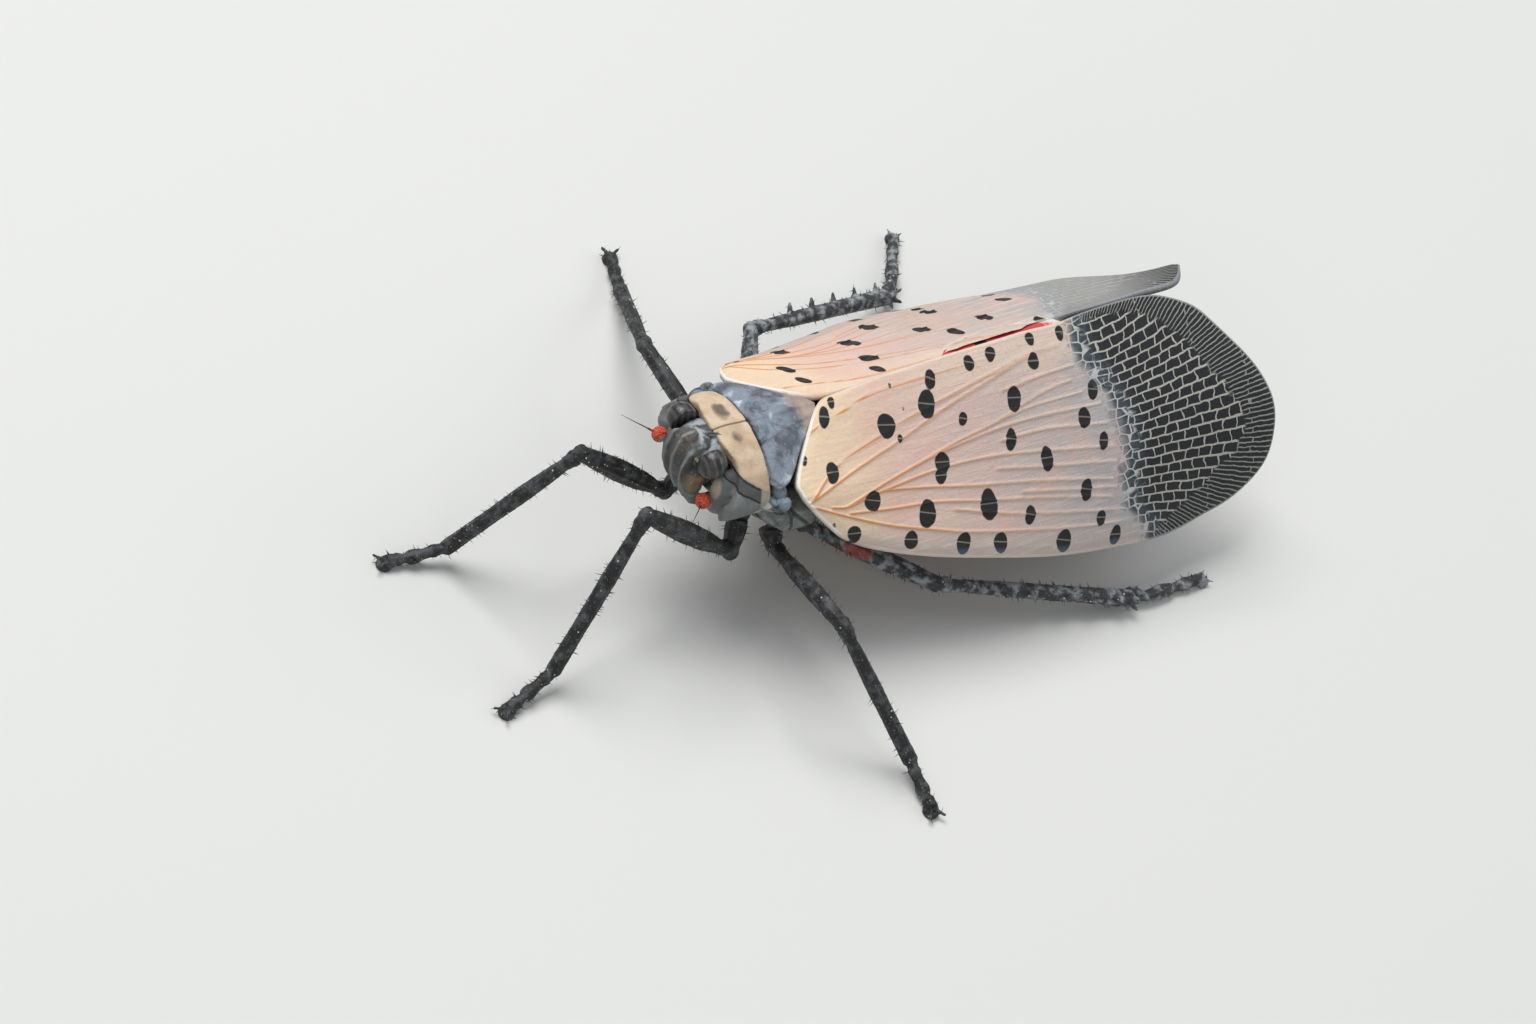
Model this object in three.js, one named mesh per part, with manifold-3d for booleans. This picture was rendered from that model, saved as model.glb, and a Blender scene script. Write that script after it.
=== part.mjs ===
// Spotted lanternfly (Lycorma delicatula), adult at rest with its wings folded.
// A still, life-size model: head toward -Y, the insect's own left toward +X, feet on z = 0.
import * as THREE from 'three';
import { mergeVertices } from 'three/addons/utils/BufferGeometryUtils.js';
import Module from 'manifold-3d';

const wasm = await Module();
wasm.setup();
const { Manifold, Mesh: SolidMesh } = wasm;

// Driving sizes in millimetres. Body parts are written from the hind edge of the
// pronotum on the midline, which stands this high above the floor.
const BODY_HEIGHT = 7.5;
const GAP = 0.3;
const SHEET = 0.5;            // thickness of every wing
const VEIN = 0.17;            // height of a main vein over the wing
const VEIN_FOOT = 0.17;       // half width of a vein at its foot
const ROOF_SLOPE = 39.8;      // degrees each forewing falls away from the midline
const RIDGE_RISE = 2.4;       // degrees the wing ridge rises toward the tail
const RIDGE_START = [0, 2.82, 0.16];
const SHOULDER = 0.85;        // outward swell of the wing over its root
const CAMBER = 0.25;
const TUCK = 1.15;            // how far the outer edge of the wing is turned down
const TIP_BEND = 1.05;        // how far the tip of the right wing bends down besides

const EYE = { x: 1.03, y: -1.7, z: -0.3, radius: 0.5, cut: 0.88 };
const BULB = { x: 1.5, y: -1.82, z: -1.7, radius: 0.27 };
const HAIR = { length: 1.5, lift: 12, heading: 40 };

const COLOURS = {
  wax: 0x5d6468, tan: 0xc9ad86, slate: 0x77808c, eye: 0x33312f, orange: 0xe0502f,
  legs: 0x3b3836, wing: 0xcbb5a8, red: 0xb3202a, yellow: 0xc9a444, pale: 0xa9a8a0,
};

const radians = THREE.MathUtils.degToRad;
const vec = (x, y, z) => new THREE.Vector3(x, y, z);
const clamp = THREE.MathUtils.clamp;
const mix = THREE.MathUtils.lerp;

// Closed surfaces.

function toSolid(geometry) {
  let bare = geometry.clone();
  bare.deleteAttribute('normal');
  bare.deleteAttribute('uv');
  bare = mergeVertices(bare, 1e-4);
  const mesh = new SolidMesh({
    numProp: 3,
    vertProperties: Float32Array.from(bare.attributes.position.array),
    triVerts: Uint32Array.from(bare.index.array),
  });
  mesh.merge();
  return new Manifold(mesh);
}

function toGeometry(solid) {
  const mesh = solid.getMesh();
  const geometry = new THREE.BufferGeometry();
  const xyz = new Float32Array(mesh.numVert * 3);
  for (let i = 0; i < mesh.numVert; i++) {
    for (let k = 0; k < 3; k++) xyz[3 * i + k] = mesh.vertProperties[mesh.numProp * i + k];
  }
  geometry.setAttribute('position', new THREE.BufferAttribute(xyz, 3));
  geometry.setIndex([...mesh.triVerts]);
  geometry.computeVertexNormals();
  return geometry;
}

// One closed surface out of several that run into each other.
function join(...geometries) {
  const whole = Manifold.union(geometries.map(toSolid));
  const pieces = whole.decompose().sort((a, b) => b.volume() - a.volume());
  return toGeometry(pieces[0]);
}

function without(geometry, ...tools) {
  const left = toSolid(geometry).subtract(Manifold.union(tools.map(toSolid)));
  return toGeometry(left.decompose().sort((a, b) => b.volume() - a.volume())[0]);
}

// Skin over a row of rings with the same number of points, closed by a fan at each end.
function loft(rings) {
  const count = rings[0].length;
  const points = rings.flat();
  const faces = [];
  for (let i = 0; i + 1 < rings.length; i++) {
    for (let j = 0; j < count; j++) {
      const a = i * count + j;
      const b = i * count + (j + 1) % count;
      faces.push(a, b, b + count, a, b + count, a + count);
    }
  }
  const ends = [rings[0], rings[rings.length - 1]].map((ring, end) => {
    const middle = ring.reduce((sum, p) => sum.add(p), vec(0, 0, 0)).divideScalar(count);
    points.push(middle);
    return { middle: points.length - 1, first: end * (rings.length - 1) * count, end };
  });
  for (const { middle, first, end } of ends) {
    for (let j = 0; j < count; j++) {
      const a = first + j;
      const b = first + (j + 1) % count;
      if (end) faces.push(middle, a, b); else faces.push(middle, b, a);
    }
  }
  return outward(points, faces);
}

// Turns the faces of a closed surface to face out of it.
function outward(points, faces) {
  let volume = 0;
  for (let i = 0; i < faces.length; i += 3) {
    const [a, b, c] = [points[faces[i]], points[faces[i + 1]], points[faces[i + 2]]];
    volume += a.dot(b.clone().cross(c));
  }
  if (volume < 0) {
    for (let i = 0; i < faces.length; i += 3) {
      [faces[i + 1], faces[i + 2]] = [faces[i + 2], faces[i + 1]];
    }
  }
  const geometry = new THREE.BufferGeometry().setFromPoints(points);
  geometry.setIndex(faces);
  geometry.computeVertexNormals();
  return geometry;
}

// A rounded ring across the body: half width, half height, and how square it is.
function crossRing(y, middle, halfWidth, halfHeight, square = 2, count = 16) {
  return Array.from({ length: count }, (_, k) => {
    const angle = (2 * Math.PI * k) / count;
    const [c, s] = [Math.cos(angle), Math.sin(angle)];
    const x = halfWidth * Math.sign(c) * Math.abs(c) ** (2 / square);
    const z = halfHeight * Math.sign(s) * Math.abs(s) ** (2 / square);
    return vec(x, y, middle + z);
  });
}

// A level ring of the head: middle, half width and half depth.
function levelRing(z, middle, halfWidth, halfDepth, square = 2.4, count = 16) {
  return crossRing(0, 0, halfWidth, halfDepth, square, count)
    .map((p) => vec(p.x, middle + p.z, z));
}

// A turned limb between two points. Radii are given at even steps, and flat squeezes it.
function limb(from, to, radii, flat = 1, sides = 8) {
  const along = to.clone().sub(from);
  const length = along.length();
  const profile = [new THREE.Vector2(0, 0)];
  radii.forEach((r, k) => profile.push(
    new THREE.Vector2(r, (length * k) / (radii.length - 1))));
  profile.push(new THREE.Vector2(0, length));
  const geometry = new THREE.LatheGeometry(profile, sides);
  const y = along.normalize();
  const x = vec(0, 0, 1).cross(y).normalize();
  const z = x.clone().cross(y);
  geometry.scale(flat, 1, 1);
  geometry.applyMatrix4(new THREE.Matrix4().makeBasis(x, y, z).setPosition(from));
  return geometry;
}

function ball(centre, radius, squash = [1, 1, 1], across = 12, down = 8) {
  const geometry = new THREE.SphereGeometry(radius, across, down);
  geometry.scale(...squash);
  geometry.translate(centre.x, centre.y, centre.z);
  return geometry;
}

function mirrored(geometry) {
  const index = geometry.index ? [...geometry.index.array]
    : Array.from({ length: geometry.attributes.position.count }, (_, k) => k);
  const at = geometry.attributes.position;
  const points = Array.from({ length: at.count }, (_, k) =>
    vec(-at.getX(k), at.getY(k), at.getZ(k)));
  return outward(points, index);
}

// The assembly.

const insect = new THREE.Group();
insect.name = 'spotted_lanternfly';
const body = new THREE.Group();
body.name = 'body_frame';
body.position.set(0, 0, BODY_HEIGHT);
insect.add(body);

function add(name, geometry, colour, roughness = 0.7) {
  const material = new THREE.MeshStandardMaterial({ color: colour, roughness, metalness: 0 });
  const mesh = new THREE.Mesh(geometry, material);
  mesh.name = name;
  body.add(mesh);
  return mesh;
}

function addPair(name, geometry, colour, roughness) {
  add(`${name}_left`, geometry, colour, roughness);
  add(`${name}_right`, mirrored(geometry), colour, roughness);
}

// Head: a deep capsule that is narrow between the eyes and sweeps back to the mouth,
// with the long face plate in front and the small horn folded back on the crown.
const capsule = loft([
  levelRing(0.04, -1.78, 0.34, 0.26),
  levelRing(-0.06, -1.82, 0.56, 0.42),
  levelRing(-0.35, -1.84, 0.57, 0.48),
  levelRing(-0.78, -1.82, 0.6, 0.5),
  levelRing(-1.0, -1.82, 0.98, 0.5),
  levelRing(-1.55, -1.78, 1.0, 0.5),
  levelRing(-2.0, -1.62, 0.9, 0.48),
  levelRing(-2.5, -1.38, 0.66, 0.44),
  levelRing(-3.05, -1.08, 0.42, 0.36),
  levelRing(-3.5, -0.82, 0.27, 0.27),
  levelRing(-3.85, -0.62, 0.18, 0.2),
]);
const facePlate = loft([
  levelRing(0.02, -2.16, 0.44, 0.16, 3, 12),
  levelRing(-0.2, -2.24, 0.62, 0.2, 3, 12),
  levelRing(-0.9, -2.22, 0.74, 0.24, 3, 12),
  levelRing(-1.6, -2.02, 0.8, 0.26, 3, 12),
  levelRing(-2.2, -1.74, 0.7, 0.26, 3, 12),
  levelRing(-2.7, -1.46, 0.5, 0.24, 3, 12),
  levelRing(-3.0, -1.28, 0.34, 0.2, 3, 12),
]);
const horn = limb(vec(0, -2.22, -0.12), vec(0, -1.86, 0.22), [0.3, 0.24, 0.1], 1.2, 8);
add('head', join(capsule, facePlate, horn), COLOURS.wax);

// Eyes: domes that stand out of the sides of the head.
const eyeBlock = new THREE.BoxGeometry(2, 3, 3).translate(EYE.cut - 1, EYE.y, EYE.z);
addPair('eye', without(
  ball(vec(EYE.x, EYE.y, EYE.z), EYE.radius, [1, 0.95, 1], 16, 10), eyeBlock), COLOURS.eye, 0.35);

// Feelers: a short stalk, the swollen orange bulb and a bristle.
const bulbAt = vec(BULB.x, BULB.y, BULB.z);
const stalkFrom = vec(0.98 + GAP, BULB.y, BULB.z);
const bristleWay = vec(
  Math.sin(radians(HAIR.heading)) * Math.cos(radians(HAIR.lift)),
  -Math.cos(radians(HAIR.heading)) * Math.cos(radians(HAIR.lift)),
  Math.sin(radians(HAIR.lift)));
const bristleTip = bulbAt.clone().addScaledVector(bristleWay, HAIR.length);
addPair('antenna', join(
  limb(stalkFrom, bulbAt, [0.2, 0.2], 1, 8),
  ball(bulbAt, BULB.radius, [1, 1, 1.1], 10, 7),
  limb(bulbAt, bristleTip, [0.12, 0.05, 0.025, 0.02], 1, 6)), COLOURS.orange, 0.6);

// Beak: the sucking mouth tube, laid back under the breast.
const beakStart = vec(0, -0.28, -3.98);
add('beak', join(
  limb(beakStart, vec(0, 1.7, -3.98), [0.17, 0.25, 0.22, 0.22], 1, 8),
  limb(vec(0, 1.6, -3.98), vec(0, 3.5, -3.9), [0.22, 0.2, 0.12], 1, 8)), COLOURS.legs);

// Pronotum: the pale collar. Each station is half width, height, front edge, hind edge
// and thickness, from the midline out over the corner and down the side lobe.
const COLLAR = [
  [0.0, 0.08, -1.2, 0.0, 0.75],
  [0.75, 0.04, -1.14, -0.03, 0.7],
  [1.3, -0.12, -0.96, -0.04, 0.6],
  [1.78, -0.44, -0.96, -0.03, 0.5],
  [2.2, -0.95, -1.12, 0.02, 0.45],
  [2.42, -1.45, -1.28, 0.08, 0.45],
  [2.3, -1.9, -1.4, 0.08, 0.45],
  [2.06, -2.3, -1.34, -0.06, 0.42],
  [1.86, -2.58, -1.08, -0.34, 0.36],
];
function collarRing(side, [x, z, front, back, thick], next, last) {
  const along = vec(next[0] - last[0], 0, next[1] - last[1]).normalize();
  const inward = vec(along.z, 0, -along.x).multiplyScalar(thick);
  const swell = [0, 0.06, 0.08, 0.06, 0];
  const outer = swell.map((s, k) => vec(
    side * (x - (inward.x / thick) * s), mix(front, back, k / 4), z - (inward.z / thick) * s));
  const inner = [1, 0.5, 0].map((k) => vec(
    side * (x + inward.x), mix(front + 0.12, back - 0.06, k), z + inward.z));
  return [...outer, ...inner];
}
const collarHalf = (side) => COLLAR.map((row, k) => collarRing(side, row,
  COLLAR[Math.min(k + 1, COLLAR.length - 1)], k ? COLLAR[k - 1] : [-COLLAR[1][0], COLLAR[1][1]]));
add('pronotum', loft([
  ...collarHalf(1).slice(1).reverse(), collarHalf(1)[0], ...collarHalf(-1).slice(1)]),
COLOURS.tan);

// Mesonotum: the slate shield between the wing roots. Each row across is its distance
// back, its half width and its thickness.
const SHIELD = [
  [0.3, 1.95, 0.6], [0.6, 2.2, 0.62], [0.9, 2.12, 0.62], [1.2, 1.84, 0.62],
  [1.6, 1.36, 0.6], [2.0, 0.92, 0.56], [2.38, 0.5, 0.5], [2.62, 0.16, 0.42],
];
const shieldTop = (x) => 0.1 - 1.2 * (Math.abs(x) / 2.7) ** 1.7;
const shieldRings = SHIELD.map(([y, halfWidth, thick]) => {
  const across = [-1, -0.8, -0.55, -0.28, 0, 0.28, 0.55, 0.8, 1].map((k) => k * halfWidth);
  const top = across.map((x) => vec(x, y, shieldTop(x)));
  const under = across.slice().reverse().map((x) => vec(
    0.94 * x, y, shieldTop(x) - thick * (1 - 0.35 * (Math.abs(x) / halfWidth) ** 2)));
  return [...top, ...under];
});
add('mesonotum', loft(shieldRings), COLOURS.slate);

// Tegulae: small scales over the wing roots.
addPair('tegula', ball(vec(2.6, 0.7, -1.45), 0.32, [0.85, 0.95, 1], 9, 6), COLOURS.pale);

// Thorax: the breast that carries the legs.
add('thorax', loft([
  crossRing(-0.92, -1.95, 0.85, 0.6, 2.2, 14),
  crossRing(-0.5, -2.05, 1.15, 0.95, 2.3, 14),
  crossRing(0.3, -2.2, 1.45, 1.15, 2.4, 14),
  crossRing(0.8, -2.5, 2.1, 1.15, 2.4, 14),
  crossRing(1.4, -2.75, 2.75, 1.05, 2.4, 14),
  crossRing(2.3, -2.8, 2.8, 1.0, 2.5, 14),
  crossRing(3.2, -2.85, 2.4, 0.92, 2.4, 14),
  crossRing(3.85, -2.9, 1.7, 0.75, 2.2, 14),
]), COLOURS.wax);

// Abdomen: overlapping rings, roof-shaped on top under the wings and round below.
const ABDOMEN = { start: 4.15, ring: 1.32, rings: 7, halfWidth: 2.1, depth: 1.35 };
function abdomenRing(y, scale) {
  const crest = -1.58 + 0.035 * (y - ABDOMEN.start);
  const eaves = crest - 0.8 * ABDOMEN.halfWidth * scale;
  const ring = [];
  for (const k of [1, 0.66, 0.33, 0, -0.33, -0.66, -1]) {
    const x = k * ABDOMEN.halfWidth * scale;
    ring.push(vec(x, y, mix(crest, eaves, Math.abs(k) ** 1.15) - 0.25 * (1 - scale)));
  }
  for (let k = 1; k < 9; k++) {
    const angle = Math.PI * (1 + k / 9);
    ring.push(vec(Math.cos(angle) * ABDOMEN.halfWidth * scale * 0.98, y,
      eaves - 0.25 * (1 - scale) + Math.sin(angle) * ABDOMEN.depth * scale));
  }
  return ring;
}
const abdomenRings = [];
for (let k = 0; k < ABDOMEN.rings; k++) {
  const y = ABDOMEN.start + ABDOMEN.ring * k;
  const swell = 1 - 0.62 * Math.abs((k - 2) / (ABDOMEN.rings - 1)) ** 1.8;
  abdomenRings.push(abdomenRing(y, swell * 0.93), abdomenRing(y + 0.2, swell * 0.98),
    abdomenRing(y + ABDOMEN.ring - 0.12, swell));
}
const abdomenEnd = ABDOMEN.start + ABDOMEN.ring * ABDOMEN.rings;
abdomenRings.push(abdomenRing(abdomenEnd + 0.3, 0.42), abdomenRing(abdomenEnd + 0.7, 0.2));
add('abdomen', loft(abdomenRings), COLOURS.yellow);

// Wings. A point of a wing is u mm back along the ridge and v mm down the roof from it.
const slope = radians(ROOF_SLOPE);
const rise = radians(RIDGE_RISE);
const alongRidge = vec(0, Math.cos(rise), Math.sin(rise));
const downRoof = vec(Math.cos(slope), Math.sin(slope) * Math.sin(rise),
  -Math.sin(slope) * Math.cos(rise));
const offRoof = downRoof.clone().cross(alongRidge).normalize();
const swellWay = vec(0.455, -0.54, 0.708);
function onWing(u, v, tipBend = 0) {
  const overRoot = SHOULDER * Math.exp(-(((u + 1.1) / 3.2) ** 2))
    * clamp(v / 3, 0, 1) * (1 - 0.4 * clamp((v - 3.3) / 2, 0, 1));
  const camber = CAMBER * Math.sin(Math.PI * clamp(v / 8.2, 0, 1)) * clamp(u / 6, 0.3, 1);
  const tuck = TUCK * clamp((v - 2.5) / 5.5, 0, 1) ** 2 * clamp((u - 6) / 10, 0, 1);
  const bend = tipBend * THREE.MathUtils.smoothstep(u, 14.6, 18) * clamp((v - 2.5) / 3, 0, 1);
  return vec(...RIDGE_START).addScaledVector(alongRidge, u).addScaledVector(downRoof, v)
    .addScaledVector(swellWay, overRoot).addScaledVector(offRoof, camber - tuck - bend);
}
// The sheet stands upright where it meets its fellow on the ridge.
function wingNormal(v) {
  const k = clamp(v / 1.2, 0, 1);
  return vec(0, 0, 1).lerp(offRoof, k * k * (3 - 2 * k)).normalize();
}

// Lines of the forewing from its base to its outer edge, as (u, v). The main veins are
// named with how far along they stay raised. The first line is the inner edge, the last
// the costal edge.
const FOREWING = [
  { raised: 0, line: [[0.12, 0.36], [1.3, 0.26], [3, 0.22], [5.6, 0.2], [8.6, 0.2],
    [11.6, 0.2], [14.4, 0.2], [16.75, 0.72]] },
  { raised: 0.62, line: [[-0.68, 1.15], [0.8, 0.92], [2.8, 0.74], [5.5, 0.66], [8.6, 0.6],
    [11.6, 0.6], [14.5, 0.68], [17.2, 1.25]] },
  { raised: 0.62, line: [[-1.36, 2.45], [0.3, 2.3], [2.5, 1.78], [5.3, 1.3], [8.6, 1.1],
    [11.6, 1.12], [14.7, 1.28], [17.7, 1.85]] },
  { raised: 1, line: [[-1.28, 2.7], [0.6, 2.95], [2.7, 2.75], [5.3, 2.35], [8.6, 2.05],
    [11.6, 2.0], [14.8, 2.1], [18.2, 2.5]] },
  { raised: 1, line: [[-1.2, 2.92], [0.6, 3.5], [2.7, 3.4], [5.3, 3.15], [8.6, 3.0],
    [11.6, 3.05], [14.9, 3.15], [18.75, 3.4]] },
  { raised: 1, line: [[-1.12, 3.12], [0.6, 3.88], [2.7, 3.95], [5.3, 4.05], [8.6, 4.15],
    [11.6, 4.4], [15.0, 4.5], [19.2, 4.6]] },
  { raised: 1, line: [[-1.02, 3.3], [0.5, 4.14], [2.6, 4.55], [5.5, 5.0], [8.6, 5.4],
    [11.6, 5.75], [14.9, 5.9], [19.1, 5.75]] },
  { raised: 1, line: [[-0.9, 3.48], [0.4, 4.42], [2.5, 5.2], [5.6, 6.0], [8.6, 6.62],
    [11.6, 7.0], [14.6, 7.15], [18.65, 6.85]] },
  { raised: 0, line: [[-0.72, 3.78], [0.4, 5.0], [3.0, 6.12], [6.2, 7.02], [8.8, 7.63],
    [11.5, 8.02], [14.1, 8.22], [17.2, 7.75]] },
];
const WING_STEPS = 16;

// Points along a line through its named places, evenly stepped.
function smoothLine(line) {
  const curve = new THREE.CatmullRomCurve3(line.map(([u, v]) => vec(u, v, 0)));
  return Array.from({ length: WING_STEPS + 1 }, (_, k) => curve.getPoint(k / WING_STEPS));
}

// A closed sheet from rows of (u, v, lift) points, cut into triangles alike on both faces.
function sheet(rows, below = 0, tipBend = 0) {
  const across = rows.length;
  const along = rows[0].length;
  const points = [];
  for (const face of [1, -1]) {
    for (const row of rows) {
      for (const p of row) {
        const lift = face > 0 ? SHEET / 2 + p.z : -SHEET / 2;
        const rib = Math.max(0, wingNormal(p.y).dot(offRoof));
        points.push(onWing(p.x, p.y, tipBend)
          .addScaledVector(wingNormal(p.y), (lift - below) / rib));
      }
    }
  }
  const at = (face, i, j) => (face * across + i) * along + j;
  const faces = [];
  for (const face of [0, 1]) {
    for (let i = 0; i + 1 < across; i++) {
      for (let j = 0; j + 1 < along; j++) {
        const [a, b, c, d] = [at(face, i, j), at(face, i, j + 1),
          at(face, i + 1, j + 1), at(face, i + 1, j)];
        if (face) faces.push(a, b, c, a, c, d); else faces.push(a, c, b, a, d, c);
      }
    }
  }
  const rim = [];
  for (let j = 0; j + 1 < along; j++) rim.push([0, j]);
  for (let i = 0; i + 1 < across; i++) rim.push([i, along - 1]);
  for (let j = along - 1; j > 0; j--) rim.push([across - 1, j]);
  for (let i = across - 1; i > 0; i--) rim.push([i, 0]);
  rim.forEach(([i, j], k) => {
    const [m, n] = rim[(k + 1) % rim.length];
    faces.push(at(0, i, j), at(0, m, n), at(1, m, n), at(0, i, j), at(1, m, n), at(1, i, j));
  });
  return outward(points, faces);
}

// Each vein is three rows: its crest and a foot on either side of it. Lap moves the inner
// edge of the outer half over the midline, or back from it on the wing underneath.
function forewing(lap, tipBend = 0) {
  const lines = FOREWING.map(({ line }) => smoothLine(line));
  for (const [n, share] of [[0, 1], [1, 0.5]]) {
    for (const p of lines[n]) {
      const reach = clamp((p.x - 8.5) / 3, 0, 1) * clamp((17.6 - p.x) / 2.6, 0, 1);
      p.y += lap * share * reach;
    }
  }
  const rows = [];
  lines.forEach((line, n) => {
    const { raised } = FOREWING[n];
    if (!raised) { rows.push(line); return; }
    for (const side of [-1, 0, 1]) {
      rows.push(line.map((p, k) => {
        const beside = lines[n + (side || 1)][k];
        const room = Math.min(p.distanceTo(lines[n + 1][k]), p.distanceTo(lines[n - 1][k]));
        const step = Math.min(VEIN_FOOT, 0.34 * room);
        const t = k / WING_STEPS;
        const fade = clamp((raised - t) * 8, raised === 1 ? 0.45 : 0, 1) * clamp(t * 9, 0.3, 1);
        if (!side) return vec(p.x, p.y, VEIN * fade);
        return p.clone().lerp(beside, step / p.distanceTo(beside)).setZ(0);
      }));
    }
  });
  return sheet(rows, 0, tipBend);
}
add('forewing_left', forewing(-0.55), COLOURS.wing);
add('forewing_right', mirrored(forewing(0.75, TIP_BEND)), COLOURS.wing);

// Hindwings: folded into pleats flat under the forewings.
const HINDWING = { start: 0.95, length: 12.5, pleats: 4, top: 0.46, breadth: 4, pleat: 0.09 };
function hindwing(inner) {
  const rows = [];
  for (let i = 0; i <= 2 * HINDWING.pleats; i++) {
    const t = i / (2 * HINDWING.pleats);
    const row = [];
    for (let k = 0; k <= 10; k++) {
      const s = k / 10;
      const breadth = HINDWING.breadth * (0.42 + 0.58 * Math.sin(Math.PI * clamp(s * 0.78, 0, 1)));
      const end = HINDWING.length * (1 - 0.12 * (2 * t - 1) ** 2);
      row.push(vec(HINDWING.start + end * s, inner + breadth * t,
        (i % 2 ? HINDWING.pleat : 0)));
    }
    rows.push(row);
  }
  return sheet(rows, SHEET + GAP + HINDWING.pleat);
}
add('hindwing_left', hindwing(HINDWING.top), COLOURS.red);
add('hindwing_right', mirrored(hindwing(HINDWING.top)), COLOURS.red);

// Legs. Headings are degrees from straight ahead, out to the side and on to the rear, and
// lifts are degrees above level. The shin falls to the ankle height over the floor.
const LIMBS = {
  front: { femur: 5.35, tibia: 6.5, tarsus: 2.4, femurRadii: [0.26, 0.4, 0.44, 0.38, 0.27],
    tibiaRadii: [0.21, 0.27, 0.25, 0.27], flat: 0.75 },
  middle: { femur: 4.9, tibia: 6.05, tarsus: 2.1, femurRadii: [0.24, 0.32, 0.34, 0.32, 0.27],
    tibiaRadii: [0.21, 0.26, 0.25, 0.27], flat: 0.85 },
  hind: { femur: 5.5, tibia: 8.5, tarsus: 3.9, femurRadii: [0.24, 0.33, 0.36, 0.34, 0.28],
    tibiaRadii: [0.22, 0.28, 0.29, 0.33], flat: 0.9 },
};
const LEGS = {
  front_left: { hip: [1.35, 0.3, -3.1], trochanter: [2.15, -0.15, -4.28],
    thigh: [-4.4, 35.9], shin: 28.5, ankle: 0.65, foot: 17.6 },
  front_right: { hip: [-1.1, 0.0, -3.1], trochanter: [-0.95, -0.98, -4.4],
    thigh: [4.1, 36.2], shin: 23.7, ankle: 0.6, foot: 10.2 },
  middle_left: { hip: [1.75, 1.4, -3.5], trochanter: [2.39, 1.5, -4.23],
    thigh: [82.5, 18.7], shin: 125, ankle: 0.55, foot: 86.3 },
  middle_right: { hip: [-1.45, 1.55, -3.5], trochanter: [-1.95, 1.67, -4.25],
    thigh: [89, 1], shin: 119.6, ankle: 0.5, foot: 112 },
  hind_left: { hip: [1.3, 2.75, -3.55], trochanter: [1.81, 3.1, -4.3],
    thigh: [145, -13], shin: 166.1, ankle: 0.55, foot: -177.9 },
  hind_right: { hip: [-1.5, 2.75, -3.55], trochanter: [-2.3, 3.2, -4.3],
    thigh: [125, -4], shin: 170, ankle: 0.68, foot: 126.5 },
};
const JOINT = { hip: 0.3, knee: 0.3, ankle: 0.27 };
const PAD = { radius: 0.3, height: 0.24 };

function wayOf(side, heading, lift) {
  const [h, l] = [radians(heading), radians(lift)];
  return vec(side * Math.sin(h) * Math.cos(l), -Math.cos(h) * Math.cos(l), Math.sin(l));
}

// Small spurs stand out of the outer side of the hind shin and in a ring at its end.
function shinSpines(from, way, length, side) {
  const out = wayOf(side, 90, 20);
  out.addScaledVector(way, -out.dot(way)).normalize();
  const spines = [];
  for (let k = 0; k < 5; k++) {
    const root = from.clone().addScaledVector(way, length * (0.22 + 0.165 * k));
    const tip = root.clone().addScaledVector(out, 0.62).addScaledVector(way, 0.34);
    spines.push(limb(root, tip, [0.17, 0.05], 1, 5));
  }
  for (let k = 0; k < 6; k++) {
    const around = out.clone().applyAxisAngle(way, (Math.PI * k) / 3 + 0.5);
    const root = from.clone().addScaledVector(way, length - 0.3);
    const tip = root.clone().addScaledVector(around, 0.5).addScaledVector(way, 0.36);
    spines.push(limb(root, tip, [0.15, 0.05], 1, 5));
  }
  return spines;
}

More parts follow.
